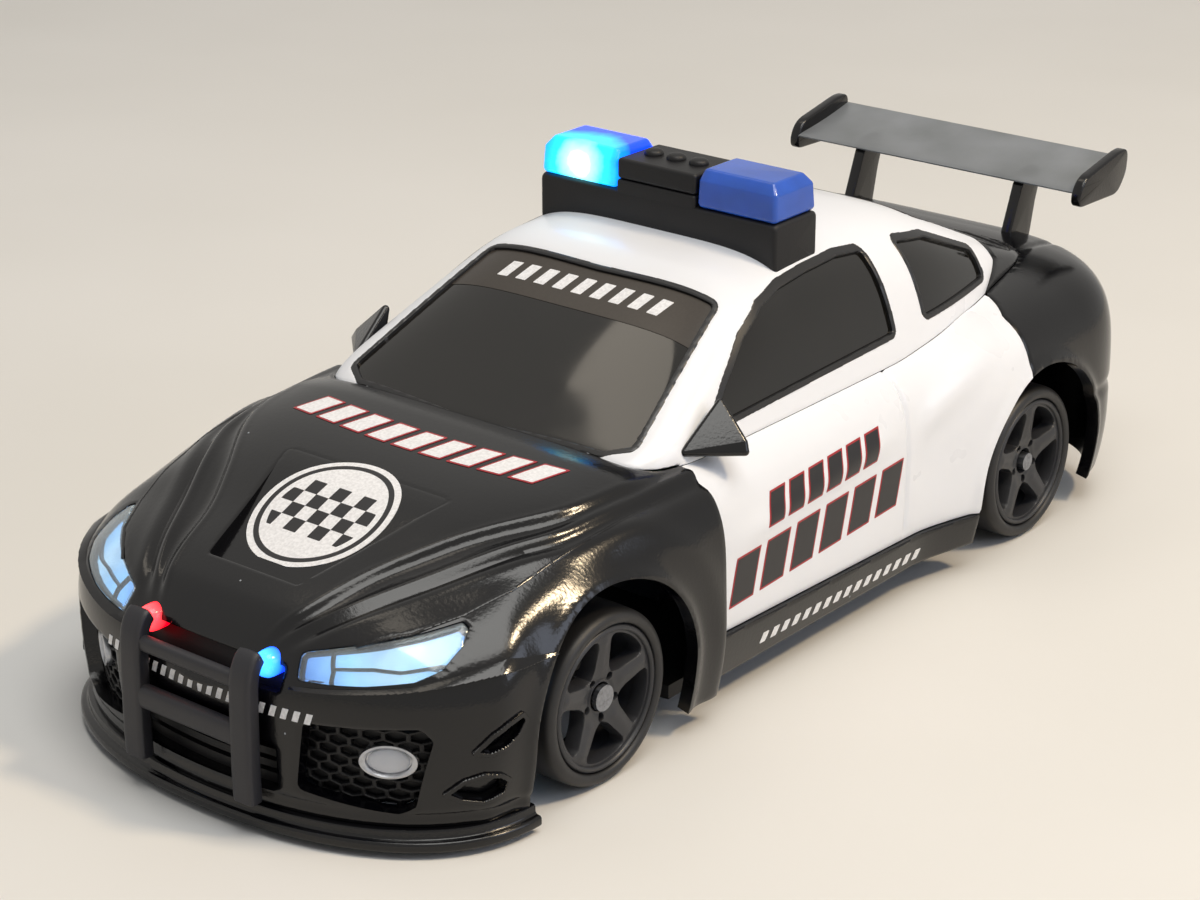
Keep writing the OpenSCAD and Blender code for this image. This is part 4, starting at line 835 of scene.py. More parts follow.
def side_distance(p):
    """Signed distance to the nearer of the door and quarter panes, on the cabin's sides only."""
    sides = np.minimum(door_distance(p), quarter_distance(p))
    return np.where(np.abs(p[..., 0]) > 11, sides, far_off)


def cabin_panels(p):
    """Below 0 on the cabin's panels: above the lower body and outside the windows."""
    panes = np.minimum.reduce([screen_distance(p), rear_distance(p), side_distance(p)])
    return np.maximum(-inside_lower(p), -panes)


def door_panels(p):
    """Below 0 on the doors: outside cabin and arch, before the joint and above the sill strips."""
    return np.maximum.reduce([-inside_cabin(p), -arch_distance(p, rear_y),
                              behind_joint(p) + joint_gap, door_bottom(p[..., 1]) - p[..., 2]])


def back_relief(p):
    """Moulded detail of doors and tail, in mm: door shut line, swage, haunch crease, arch lip,
    boot and bumper lines."""
    x, y, z = np.abs(p[..., 0]), p[..., 1], p[..., 2]
    side = ease(13, 16, x)
    swage, haunch = z - 13.6 - 0.1 * (y + 17), z - 15.2 - 0.45 * (y - 11.5)
    d = -ridge(y - 11, 0.28, 0.2) * side * ease(6, 7, z)
    d += ridge(swage, 0.26, 1.1) * side * ease(-16, -10, y) * ease(11, 6, y)
    d += ridge(haunch, 0.45, 1.4) * side * ease(11.3, 15, y) * ease(28, 22, y)
    d += ridge(arch_distance(p, rear_y), 0.3, 0.7)
    d -= ridge(x - 13.2, 0.16, 0.4) * ease(20, 22, z) * ease(39, 40, y)
    d -= ridge(z - 11.4, 0.2, 0.5) * ease(36, 40, y)
    return d


# White ABS: clean cool white with a soft sheen, a trace of flow marks, dull in the shade
white_abs = moulded_plastic("white ABS", "#eceef3", 0.3, 0.6, 0.1, coat=0.2, spread=0.008)
back_panels, back_smooth = relieved(back_base, back_relief), (back_base, back_base)
cabin = (cabin_base, cabin_base)
doors = cut_shell(back_panels, (250, 150), door_panels, wall, u_span=(0, door_share))
roof = cut_shell(cabin, (190, 210), lambda p: np.maximum(
    cabin_panels(p), behind_joint(p) + joint_gap), wall)
add_piece("cabin_shell", join(doors, roof), white_abs, ["cabin_shell"])

# Door graphics: two rows of dark slanted blocks with thin red edges on each door.
# Printed film on the moulding, 0.03 mm thick.
long_row = dict(first=-12.4, pitch=4.1, count=6, width=2.9, height=3.7, lean=0.25)
short_row = dict(first=-8.2, pitch=2.7, count=6, width=1.8, height=2.5, lean=0.25)


def door_blocks(p, grow=0.0):
    """Two rows of slanted blocks that climb a little towards the rear: a long lower row and a
    short upper one."""
    y, z = p[..., 1], p[..., 2] - 0.05 * (p[..., 1] + 14)
    return np.minimum(slanted_bars(y, z - 10.6, grow=grow, **long_row),
                      slanted_bars(y, z - 15.2, grow=grow, **short_row))


door_span = dict(steps=(330, 200), u_span=(0.01, 0.42), w_span=(0.5, 0.9))
add_piece("door_blocks_edge", mirrored(decal(
    back_panels, field=lambda p: door_blocks(p, 0.16), lift=0.035, **door_span)), red_film)
add_piece("door_blocks", mirrored(decal(back_panels, field=door_blocks, lift=0.05, **door_span)),
          dark_film)

# Side skirts: black ABS sill strips under the doors, clipped into the floor.
# They stand 0.4 mm proud of the doors, and a row of white dashes is laid on them in film.
skirt_proud = 0.4
skirt_span = dict(u_span=(0.0, 0.52), w_span=(0.8, 1))
skirt_row = dict(first=-9.5, pitch=1.5, count=16, width=0.8, height=0.9, lean=0.4)


def skirt_face(p):
    """Below 0 on the sill strip: under the doors' lower edge, ending at the rear arch."""
    y, z = p[..., 1], p[..., 2]
    return np.maximum.reduce([z - door_bottom(y) + 0.08, y - rear_y + arch_r + 0.1,
                              -0.1 - y + split_y + 0.2])


def skirt_dashes(p):
    """Below 0 on the dashes: a row along the strip that falls a little towards the rear."""
    return slanted_bars(p[..., 1], p[..., 2] - 4.2 + 0.02 * p[..., 1], **skirt_row)


add_piece("side_skirts", mirrored(cut_shell(
    back_smooth, (150, 40), skirt_face, 1.5, skirt_proud, edge_drop=0.12, **skirt_span)),
    black_abs, ["side_skirts"])
add_piece("skirt_dashes", mirrored(decal(back_smooth, (420, 60), skirt_dashes, 0.44, **skirt_span)),
          white_film)

# Rear shell: boot, rear fenders and bumper in one gloss black ABS moulding like the front one.
# Openings for the tail lamps; the number plate's place is a plain sunk panel.
tail_outline = [(9, 16.5), (9, 19.7), (18.4, 19.7), (19.6, 17.9), (18.8, 16.5)]
plate_outline = [(-6, 12.6), (6, 12.6), (6, 15.9), (-6, 15.9)]
tail_distance = distance_to(tail_outline, 0.4, end_view, past=(1, 1, 40))
plate_distance = distance_to(plate_outline, 0.3, end_view, past=(1, 1, 46))


def rear_openings(p):
    """Below 0 on the black tail: behind the joint, outside the cabin, the arches, the lamps and
    the plate panel."""
    return np.maximum.reduce([-inside_cabin(p), -arch_distance(p, rear_y),
                              joint_gap - behind_joint(p), -tail_distance(p), -plate_distance(p)])


tail = cut_shell(back_panels, (170, 230), rear_openings, wall, u_span=(0.55, 1))
pillars = cut_shell(cabin, (90, 160), lambda p: np.maximum(
    cabin_panels(p), joint_gap - behind_joint(p)), wall, u_span=(0.6, 1))
add_piece("rear_shell", join(tail, pillars), black_abs, ["rear_clip"])
add_piece("plate_panel", cut_shell(
    back_smooth, (60, 80), lambda p: plate_distance(p) - 0.3, 0.4, -0.7, u_span=(0.8, 1),
    w_span=(-0.95, 0.95)), black_abs)


# Tail lamps: clear red polycarbonate lenses set flush into the rear shell, with fine upright ribs
# inside. Unlit in the toy's normal use.
def clear_plastic(name, code, roughness, transmission):
    """Tinted see-through plastic: faint streaks in the tint and fine scratches in the gloss."""
    material = new_material(name)
    at = add_node(material, "ShaderNodeTexCoord").outputs["Object"]
    streak = add_node(material, "ShaderNodeTexNoise",
                      {"Vector": at, "Scale": per_mm(5), "Detail": 3})
    colour = add_node(material, "ShaderNodeValToRGB", {"Fac": streak.outputs["Fac"]},
                      stops=[(0.3, shade(code, 0.9)), (0.7, shade(code, 1.08))])
    scratch = add_node(material, "ShaderNodeTexNoise",
                       {"Vector": at, "Scale": per_mm(2.5), "Detail": 2})
    rough = add_node(material, "ShaderNodeValToRGB", {"Fac": scratch.outputs["Fac"]},
                     stops=[(0.3, roughness * 0.9), (0.75, roughness * 1.2)])
    shader = add_node(material, "ShaderNodeBsdfPrincipled", {
        "Base Color": colour.outputs["Color"], "Roughness": rough.outputs["Color"], "IOR": 1.58,
        "Transmission Weight": transmission})
    add_node(material, "ShaderNodeOutputMaterial", {"Surface": shader.outputs["BSDF"]})
    return material


# Red polycarbonate: deep red, wet gloss, darker where it is thick
red_lens = clear_plastic("red polycarbonate", "#8e1119", 0.12, 0.25)
rib_pitch, rib_high = 1.2, 0.12


def tail_ribs(p):
    """Upright waves across the lamp that run out at its outline."""
    wave = rib_high * np.cos(np.abs(p[..., 0]) * 2 * np.pi / rib_pitch)
    return wave * ease(0, -0.6, tail_distance(p))


add_piece("tail_lamps", mirrored(cut_shell(
    relieved(back_base, tail_ribs), (130, 130), lambda p: tail_distance(p) + 0.08, 0.8, -0.12,
    u_span=(0.76, 1), w_span=(0.3, 0.84))), red_lens, ["tail_lamps"])

# Glazing: dark tinted polycarbonate panes snapped into the cabin from inside, each with a thin
# black edge bead. The screen's top carries a band of dark film with pale slanted dashes.
# Smoked polycarbonate: nearly black, with a mirror-smooth face and a hint of brown inside
smoked = clear_plastic("smoked polycarbonate", "#16130f", 0.05, 0.35)
# Black rubber-like bead: satin black that catches a thin line of light
bead_black = moulded_plastic("satin black bead", "#141417", 0.35, 0.3, 0.2)
glass = dict(steps=(230, 230), depth=0.7, lift=-0.28)
glass_gap = 0.08
for name, distance, span in (
        ("windscreen", screen_distance, dict(u_span=(0, 0.45))),
        ("rear_window", rear_distance, dict(u_span=(0.7, 1))),
        ("side_windows", side_distance, dict(u_span=(0.1, 0.9), w_span=(0.4, 1)))):
    pane = cut_shell(cabin, field=lambda p: distance(p) + glass_gap, **span, **glass)
    add_piece(name, mirrored(pane) if name == "side_windows" else pane, smoked,
              [name])
bead = dict(depth=0.5, lift=0.03, edge_drop=0.08)


def bead_band(pane):
    """Below 0 in a band 0.52 mm wide along a pane's outline."""
    return np.abs(pane + 0.1) - 0.26


screen_bead = cut_shell(cabin, (230, 230), lambda p: bead_band(screen_distance(p)),
                        u_span=(0, 0.45), w_span=(-0.7, 0.7), **bead)
rear_bead = cut_shell(cabin, (160, 200), lambda p: bead_band(rear_distance(p)),
                      u_span=(0.68, 1), w_span=(-0.75, 0.75), **bead)
side_beads = cut_shell(cabin, (460, 230), lambda p: bead_band(side_distance(p)),
                       u_span=(0.1, 0.9), w_span=(0.45, 1), **bead)
add_piece("window_beads", join(screen_bead, rear_bead, mirrored(side_beads)), bead_black)
strip_span = dict(u_span=(0.2, 0.42), w_span=(-0.62, 0.62))
strip_row = dict(first=-8, pitch=2, count=9, width=1.1, height=1.7, lean=0.3)


def sun_strip(p):
    """Below 0 on the film band: the screen's upper part, inside its bead."""
    return np.maximum(screen_distance(p) + 0.4, -9.6 - p[..., 1])


# Dark film on the screen's top: brown-black and duller than the bare pane
strip_film = vinyl_film("dark sun strip film", "#36302a", 0.3)
add_piece("sun_strip", decal(cabin, (120, 200), sun_strip, -0.24, **strip_span), strip_film)
add_piece("sun_strip_dashes", decal(cabin, (120, 460), lambda p: slanted_bars(
    p[..., 0], p[..., 1] + 7.3, **strip_row), -0.225, **strip_span), white_film)

# Headlamps: clear polycarbonate lenses flush with the fenders, each over a dark moulded bezel with
# two compartments. A light guide behind it glows blue-white when the toy is switched on.
lamp_divider = [(11.7, 12.6), (11.5, 13.9), (11.1, 14.5), (10.6, 15.3)]
lamp_low_line = [(11.4, 14.1), (14.2, 14.45), (16.1, 14.4), (17.6, 14.7), (18.6, 14.9)]
lamp_span = dict(u_span=(0.05, 0.62), w_span=(0.3, 0.82))
# Clear polycarbonate: colourless, wet gloss, takes the blue of the light guide behind it
clear_lens = clear_plastic("clear polycarbonate", "#dfeaf6", 0.06, 0.9)


def light_guide(name, middle_mm, reach_mm, stops, strength):
    """Lit diffusing plastic: the glow falls off with the distance from the lamp in it, over
    reach_mm."""
    material = new_material(name)
    at = add_node(material, "ShaderNodeTexCoord").outputs["Object"]
    away = add_node(material, "ShaderNodeVectorMath", {0: at, 1: tuple(v * MM for v in middle_mm)},
                    operation="DISTANCE")
    share = add_node(material, "ShaderNodeMath", {0: away.outputs["Value"], 1: reach_mm * MM},
                     operation="DIVIDE")
    haze = add_node(material, "ShaderNodeTexNoise",
                    {"Vector": at, "Scale": per_mm(1.6), "Detail": 3})
    mixed = add_node(material, "ShaderNodeMath",
                     {0: haze.outputs["Fac"], 1: 0.22, 2: share.outputs[0]},
                     operation="MULTIPLY_ADD")
    glow = add_node(material, "ShaderNodeValToRGB", {"Fac": mixed.outputs[0]}, stops=stops)
    shader = add_node(material, "ShaderNodeBsdfPrincipled", {
        "Base Color": glow.outputs["Color"], "Emission Color": glow.outputs["Color"],
        "Emission Strength": strength, "Roughness": 0.2, "IOR": 1.5})
    add_node(material, "ShaderNodeOutputMaterial", {"Surface": shader.outputs["BSDF"]})
    return material


def bezel_face(p):
    """Below 0 on the bezel: a frame along the lamp's outline, an upright divider and a low line."""
    x, z, lamp = np.abs(p[..., 0]), p[..., 2], lamp_distance(p)
    lines = np.minimum.reduce([line_distance(lamp_divider, x, z) - 0.12,
                               line_distance(lamp_low_line, x, z) - 0.09, -lamp - 0.17])
    return np.maximum(lines, lamp - 0.1)


# Lit headlamp guide: pale blue-white, bluer towards the ends of the lamp
blue_white = [(0.1, "#d3efff"), (0.5, "#9bd2ff"), (1.0, "#5e9cf5")]
guide_points, guide_triangles = cut_shell(front, (150, 110), lambda p: lamp_distance(p) + 0.1, 0.5,
                                          -0.95, **lamp_span)
for side, turn in (("left", 1), ("right", -1)):
    guide = light_guide("lit headlamp guide " + side, (turn * 14.5, -46.5, 13.7), 8, blue_white,
                        1.15)
    add_piece("headlamp_guide_" + side, (guide_points * (turn, 1, 1), guide_triangles[:, ::turn]),
              guide)
add_piece("headlamp_bezels", mirrored(cut_shell(front, (230, 200), bezel_face, 0.5, -0.6,
                                                edge_drop=0.08, **lamp_span)),
          bead_black, ["headlamp_housings"])
add_piece("headlamp_lenses", mirrored(cut_shell(
    front, (130, 110), lambda p: lamp_distance(p) + 0.05, 0.35, -0.06, **lamp_span)), clear_lens,
    ["headlamp_lenses"])

# Fog lamps: hexagon-mesh grilles sunk into the bumper's corners, each with an oval lamp in a
# bright plated ring. Grille in textured black ABS, lamp a domed white lens pressed into the ring.
fog_span = dict(u_span=(0.06, 0.52), w_span=(0.68, 1))
cell_pitch, cell_squeeze, web_half = 0.95, 0.55, 0.09


def hexagon_web(a, b, pitch):
    """Distance to the nearest side of a honeycomb of that pitch: two offset lattices, the nearer
    cell's middle wins."""
    wide, tall = pitch, pitch * math.sqrt(3)
    a1, b1 = np.mod(a, wide) - wide / 2, np.mod(b, tall) - tall / 2
    a2, b2 = np.mod(a - wide / 2, wide) - wide / 2, np.mod(b - tall / 2, tall) - tall / 2
    nearer = a1 ** 2 + b1 ** 2 < a2 ** 2 + b2 ** 2
    a, b = np.abs(np.where(nearer, a1, a2)), np.abs(np.where(nearer, b1, b2))
    return pitch / 2 - np.maximum(a, a / 2 + b * math.sqrt(3) / 2)


def fog_web(p):
    """Below 0 on the mesh: the honeycomb's sides within the recess, left out round the lamp."""
    x, z = np.abs(p[..., 0]), p[..., 2]
    lamp_hole = 1.65 - np.hypot((x - 15.8) / 1.06, (z - 7) / 0.8)
    web = hexagon_web(x * cell_squeeze, z, cell_pitch) - web_half
    return np.maximum.reduce([fog_distance(p) - 0.3, web, lamp_hole])


# Textured black ABS: dull black with the fine spark-eroded grain of its mould
grain_abs = moulded_plastic("textured black ABS", "#0e0e11", 0.5, 0.22, 0.5, mirror=0.35)
web = cut_shell(front, (250, 180), fog_web, 0.4, -1.3, edge_drop=0.06, **fog_span)
backing = cut_shell(front_smooth, (60, 50), lambda p: fog_distance(p) - 0.35, 0.3, -1.85,
                    **fog_span)
add_piece("fog_grilles", mirrored(join(web, backing)), grain_abs, ["fog_grilles"])


def grid_triangles(rows, columns):
    """Two triangles for each square of a grid whose last column joins its first."""
    i, j = np.meshgrid(np.arange(rows - 1), np.arange(columns), indexing="ij")
    a, b = i * columns + j, (i + 1) * columns + j
    c, d = (i + 1) * columns + (j + 1) % columns, i * columns + (j + 1) % columns
    return np.concatenate([np.stack([a, b, c], -1).reshape(-1, 3),
                           np.stack([a, c, d], -1).reshape(-1, 3)])


def outward(points, triangles):
    """Closed shape with its faces outwards: turned over where its signed volume is below 0."""
    corner = points[triangles]
    volume = np.sum(np.cross(corner[:, 0], corner[:, 1]) * corner[:, 2])
    return points, triangles if volume > 0 else triangles[:, ::-1]


def lathe(profile, middle, right, up, ahead, steps=96):
    """Body of revolution: profile (radius, advance) turned about the line through middle along
    ahead. right and up may differ in length, which makes the section an ellipse."""
    r, a = np.array(profile, float).T
    angle = np.linspace(0, 2 * np.pi, steps, endpoint=False)
    right, up, ahead = (np.array(way, float) for way in (right, up, ahead))
    ring = np.cos(angle)[:, None] * right + np.sin(angle)[:, None] * up
    points = np.array(middle, float) + r[:, None, None] * ring + a[:, None, None] * ahead
    return outward(points.reshape(-1, 3), grid_triangles(len(r), steps))


fog_turn, fog_wide, fog_high = math.radians(34), 1.28, 0.8
fog_place = ((15.1, -47.9, 7.0),
             (fog_wide * math.cos(fog_turn), fog_wide * math.sin(fog_turn), 0), (0, 0, fog_high),
             (math.sin(fog_turn), -math.cos(fog_turn), 0))
fog_ring = [(0.02, -1.4), (1.55, -1.4), (1.72, -0.3), (1.76, 0.1), (1.68, 0.32), (1.5, 0.36),
            (1.34, 0.24), (1.28, 0.0), (0.02, -0.02)]
fog_dome = [(0.0, -0.05), (1.22, -0.05), (1.22, 0.04), (1.16, 0.12), (1.0, 0.2), (0.7, 0.28),
            (0.35, 0.32), (0.0, 0.33)]
# Vacuum-plated plastic: bright silver over a slightly wavy moulding
plated = new_material("vacuum plated plastic")
plated_at = add_node(plated, "ShaderNodeTexCoord").outputs["Object"]
plated_wave = add_node(plated, "ShaderNodeTexNoise",
                       {"Vector": plated_at, "Scale": per_mm(0.8), "Detail": 3}).outputs["Fac"]
plated_rough = add_node(plated, "ShaderNodeValToRGB", {"Fac": plated_wave},
                        stops=[(0.3, 0.28), (0.7, 0.45)])
plated_tone = add_node(plated, "ShaderNodeValToRGB", {"Fac": plated_wave},
                       stops=[(0.3, "#a9abb0"), (0.7, "#c9cbd0")])
plated_bump = add_node(plated, "ShaderNodeBump", {"Height": plated_wave, "Strength": 0.3,
                                                  "Distance": 0.03 * MM})
plated_shader = add_node(plated, "ShaderNodeBsdfPrincipled", {
    "Base Color": plated_tone.outputs["Color"], "Metallic": 1.0,
    "Roughness": plated_rough.outputs["Color"], "Normal": plated_bump.outputs["Normal"]})
add_node(plated, "ShaderNodeOutputMaterial", {"Surface": plated_shader.outputs["BSDF"]})
add_piece("fog_lamp_rings", mirrored(lathe(fog_ring, *fog_place)), plated,
          ["fog_lamps"])
# White diffuser: milky grey-white under a gloss skin
milky = moulded_plastic("milky polycarbonate", "#c9ccd3", 0.35, 0.4, 0.3)
add_piece("fog_lamp_domes", mirrored(lathe(fog_dome, *fog_place)), milky)

# Grille inserts: slatted panels behind the bumper's middle mouth and a plain one behind its upper
# slot. Textured ABS, pushed in from behind. A row of film dashes runs between the two openings.
bumper_row = dict(first=-10.5, pitch=1.0, count=22, width=0.5, height=0.85, lean=0.3)


def slat_face(p):
    """Below 0 on the slats: level bars of 1 mm pitch across the mouth."""
    return np.maximum(mouth_distance(p) - 0.3, np.abs(np.mod(p[..., 2] - 3.4, 1) - 0.5) - 0.3)


def bumper_dashes(p):
    """Below 0 on the dashes: a row on the bumper's face."""
    dashes = slanted_bars(p[..., 0], p[..., 2] - 10.2, **bumper_row)
    return np.where(p[..., 1] < -44, dashes, far_off)


slats = cut_shell(front_smooth, (200, 160), slat_face, 0.7, -1.2, u_span=(0, 0.2))
mouth_back = cut_shell(front_smooth, (60, 60), lambda p: mouth_distance(p) - 0.4, 0.4, -2.1,
                       u_span=(0, 0.2))
slot_panel = cut_shell(front_smooth, (80, 120), lambda p: slot_distance(p) - 0.3, 0.6, -1.3,
                       u_span=(0, 0.25), w_span=(-0.9, 0.9))
add_piece("grille_inserts", join(slats, mouth_back, slot_panel), grain_abs,
          ["grille_inserts"])
add_piece("bumper_dashes", join(*(
    decal(front, (300, 260), bumper_dashes, 0.04, u_span=(0.003, 0.3), w_span=span)
    for span in ((-0.86, -0.4), (0.4, 0.86)))), white_film)


# Push bar: two upright posts with rounded tops, joined by two cross rails.
# Moulded in dull black nylon and screwed to the bumper.
def soft_outline(points, radius, steps=6):
    """Closed outline with rounded corners: each corner becomes a quadratic curve between points
    radius away from it."""
    p = np.array(points, float)
    before, after = np.roll(p, 1, 0) - p, np.roll(p, -1, 0) - p
    r1 = np.minimum(radius / np.linalg.norm(before, axis=1), 0.5)[:, None]
    r2 = np.minimum(radius / np.linalg.norm(after, axis=1), 0.5)[:, None]
    t = np.linspace(0, 1, steps)[None, :, None]
    start, end = (p + before * r1)[:, None], (p + after * r2)[:, None]
    curve = (1 - t) ** 2 * start + 2 * t * (1 - t) * p[:, None] + t ** 2 * end
    return curve.reshape(-1, 2)


def loft(rings):
    """Closed body through a row of closed rings: a skin between neighbours, each end a fan from
    the ring's middle."""
    rings = np.asarray(rings, float)
    rows, columns = rings.shape[:2]
    here, turn = np.arange(columns), np.roll(np.arange(columns), -1)
    first, last = np.full(columns, rows * columns), np.full(columns, rows * columns + 1)
    end = (rows - 1) * columns
    triangles = np.concatenate([grid_triangles(rows, columns), np.stack([first, here, turn], 1),
                                np.stack([last, end + turn, end + here], 1)])
    return outward(np.concatenate([rings.reshape(-1, 3), rings[[0, -1]].mean(1)]), triangles)


def running_length(path):
    """Length along a path from its start to each of its points."""
    return np.concatenate([[0], np.cumsum(np.linalg.norm(np.diff(path, axis=0), axis=1))])


def curved_path(points, count):
    """Smooth open path through points: a cubic curve in each coordinate over the running length."""
    p = np.array(points, float)
    run = running_length(p)
    at = np.linspace(0, run[-1], count)
    return np.stack([through(np.stack([run, c], 1), at) for c in p.T], 1)


def bar_along(path, across, half_wide, half_thick, corner, end=0.35):
    """Rounded flat bar along a path in the plane square to across: its section is a soft rectangle
    that shrinks by a quarter circle at both ends."""
    step = np.gradient(path, axis=0)
    step /= np.linalg.norm(step, axis=1, keepdims=True)
    across = np.array(across, float)
    over = np.cross(step, across)
    run = running_length(path)
    near_end = np.clip(np.minimum(run, run[-1] - run) / end, 0, 1)
    inset = end * (1 - np.sqrt(1 - (1 - near_end) ** 2))
    flat = soft_outline([(-1, -1), (1, -1), (1, 1), (-1, 1)], corner)
    wide, thick = (half_wide - inset)[:, None, None], (half_thick - inset)[:, None, None]
    return loft(path[:, None] + flat[None, :, :1] * wide * across
                + flat[None, :, 1:] * thick * over[:, None])


right_way, back_way, up_way = (1, 0, 0), (0, 1, 0), (0, 0, 1)
post_x, post_steps, rail_half, rail_steps = 5.8, 60, 5.6, 12
post_side = [(-53.2, 2.6), (-53.25, 5), (-53.2, 8), (-53.15, 10.6), (-53.05, 12.3), (-52.8, 13.3),
             (-52.4, 13.95), (-51.9, 14.3)]
post_path = np.column_stack([np.full(post_steps, post_x), curved_path(post_side, post_steps)])
posts = bar_along(post_path, right_way, half_wide=1.05, half_thick=0.66, corner=0.5)
upper_path, lower_path = (np.linspace((-rail_half, y, z), (rail_half, y, z), rail_steps)
                          for y, z in ((-53.0, 12.3), (-53.2, 8.0)))
upper_rail = bar_along(upper_path, up_way, half_wide=0.6, half_thick=0.5, corner=0.8, end=0.02)
lower_rail = bar_along(lower_path, up_way, half_wide=0.95, half_thick=0.6, corner=0.8, end=0.02)
# Dull black nylon: charcoal with a soft bloom and moulding grain
dull_nylon = moulded_plastic("dull black nylon", "#1d1d23", 0.48, 0.3, 0.4)
add_piece("push_bar", join(mirrored(posts), upper_rail, lower_rail), dull_nylon,
          ["push_bar"], level=True)

# Push-bar lamps: small clear domes by the posts' tops, lit red on the car's right and blue on its
# left. Light-emitting diodes in clear resin, pressed into the bumper.
lamp_dome = [(0.0, -2.3), (0.45, -2.25), (0.8, -2.05), (1.0, -1.7), (1.05, -1.3), (1.05, 0.0),
             (0.0, 0.0)]
for name, slot, place, stops in (
        ("push_bar_lamp_red", "lamp_red", -5.9,
         [(0.1, "#ffe3df"), (0.35, "#ff3b3f"), (1.0, "#a00010")]),
        ("push_bar_lamp_blue", "lamp_blue", 6.4,
         [(0.1, "#e6f6ff"), (0.35, "#2f8bff"), (1.0, "#0a2ad8")])):
    # Lit clear resin: white-hot at the chip, saturated colour at the rim
    lit = light_guide("lit resin " + slot, (place, -51.9, 13.7), 2.0, stops, 4.5)
    middle = (place, -49.75, 13.35)
    add_piece(name + "_dome", lathe(lamp_dome, middle, right_way, up_way, back_way, 48), lit,
              [name])

# Front lip: a two-step splitter strip under the bumper, moulded in black ABS and screwed on from
# below. Its section (out from the bumper's curve, height) is carried round that curve.
lip_section = [(-3.5, 2.14), (0.1, 2.16), (0.24, 2.1), (0.3, 1.96), (0.3, 1.6), (0.38, 1.46),
               (0.52, 1.4), (0.76, 1.37), (0.88, 1.25), (0.9, 1.1), (0.9, 0.74), (0.84, 0.6),
               (0.7, 0.52), (-3.5, 0.52)]
lip_half, lip_angle, lip_bend = 21.5, np.linspace(0, np.pi, 150)[:, None], 2 / plan_power
lip_out, lip_z = (np.array(c)[None, :] for c in zip(*lip_section))
lip_turn = np.cos(lip_angle)
lip_x = (lip_half + lip_out) * np.sign(lip_turn) * np.abs(lip_turn) ** lip_bend
lip_y = front_full_y - (front_full_y - bumper_y + lip_out) * np.sin(lip_angle) ** lip_bend
lip_rings = np.stack([lip_x, lip_y, np.broadcast_to(lip_z, lip_x.shape)], -1)
add_piece("front_lip", loft(lip_rings), black_abs, ["front_splitter"])


# Door mirrors: wedge-shaped black ABS caps on the doors' front corners, each moulded in one piece
# with its foot. The reflecting face is a small silvered foil turned to the rear.
def rounded_hull(corners, radius, rows=60, columns=120):
    """Hull of corner points with rounded edges: for each direction of a sphere grid the furthest
    corner, moved out by radius along that direction."""
    up, round_ = np.meshgrid(np.linspace(-np.pi / 2, np.pi / 2, rows),
                             np.linspace(0, 2 * np.pi, columns, endpoint=False), indexing="ij")
    way = np.stack([np.cos(up) * np.cos(round_), np.cos(up) * np.sin(round_), np.sin(up)], -1)
    way, corners = way.reshape(-1, 3), np.array(corners, float)
    furthest = corners[np.argmax(way @ corners.T, 1)]
    return outward(furthest + radius * way, grid_triangles(rows, columns))


mirror_cap = [(17.5, -16.2, 21.7), (17.5, -13.4, 21.7), (20.9, -12.9, 21.6), (20.6, -12.7, 22.2),
              (17.9, -12.2, 24.7)]
mirror_foot = [(16.3, -15.2, 21.2), (16.5, -13.6, 21.3), (18.3, -14.6, 21.9), (18.1, -13.6, 22.4)]
mirror = join(rounded_hull(mirror_cap, 0.35), rounded_hull(mirror_foot, 0.25))
add_piece("mirrors", mirrored(mirror), black_abs, ["mirrors"], sharp=30)
foil_x, foil_z = soft_outline([(17.8, 22.0), (20.5, 21.9), (20.4, 22.4), (18.0, 24.2)], 0.4).T
foil_y = -13.02 + 0.158 * (foil_x - 17.5) + 0.38 * (foil_z - 21.7)
foil_rings = [np.stack([foil_x, foil_y + side, foil_z], 1) for side in (-0.1, 0.1)]
add_piece("mirror_foils", mirrored(loft(foil_rings)), plated)


# Light bar: a black base on the roof with a blue lens at each end and a black cover between them.
# Snapped ABS mouldings and clear blue polycarbonate lenses; the right one is lit.
def roof_height(x, y):
    """Height of the cabin at a place in plan: its section's superellipse solved for the height by
    halving."""
    top = through(roof_line, y) - cabin_foot_z
    low, high = np.zeros(np.shape(x)), np.ones(np.shape(x))
    for _ in range(24):
        t = (low + high) / 2
        half = cabin_half(y) - tumble * t * top / (roof_z - cabin_foot_z)
        below = (np.abs(x) / half) ** cabin_power + t ** cabin_power < 1
        low, high = np.where(below, t, low), np.where(below, high, t)
    return cabin_foot_z + top * low


def bevelled(count, size):
    """Rows (inset, place along) that round the end of a body: a quarter circle of radius size."""
    a = np.linspace(0, np.pi / 2, count)
    return size * (1 - np.sin(a)), size * (1 - np.cos(a))


def block(*spans):
    """Eight corners of a block from its spans in x, y and z."""
    return [(x, y, z) for x in spans[0] for y in spans[1] for z in spans[2]]


bar_front, bar_back, bar_half, bar_top, bar_steps = 2.2, 8.2, 12.6, 34.6, 40
inset, along = bevelled(5, 0.35)
bar_middle = np.linspace(-bar_half + 0.6, bar_half - 0.6, bar_steps)
bar_x = np.concatenate([-bar_half + along, bar_middle, (bar_half - along)[::-1]])[:, None]
bar_inset = np.concatenate([inset, np.zeros(bar_steps), inset[::-1]])[:, None]
bar_outline = soft_outline([(0, 0), (1, 0), (1, 1), (0, 1)], 0.12)
bar_y = bar_front + bar_inset + (bar_back - bar_front - 2 * bar_inset) * bar_outline[None, :, 0]
bar_x = np.broadcast_to(bar_x, bar_y.shape)
bar_foot = roof_height(bar_x, bar_y) - 0.25
bar_z = bar_foot + (bar_top - bar_inset - bar_foot) * bar_outline[None, :, 1]
middle_block = block((-3.9, 3.9), (2.55, 7.85), (34.2, 35.25))
add_piece("light_bar_base", join(loft(np.stack([bar_x, bar_y, bar_z], -1)),
                                 rounded_hull(middle_block, 0.3)),
          grain_abs, ["light_bar_base"])
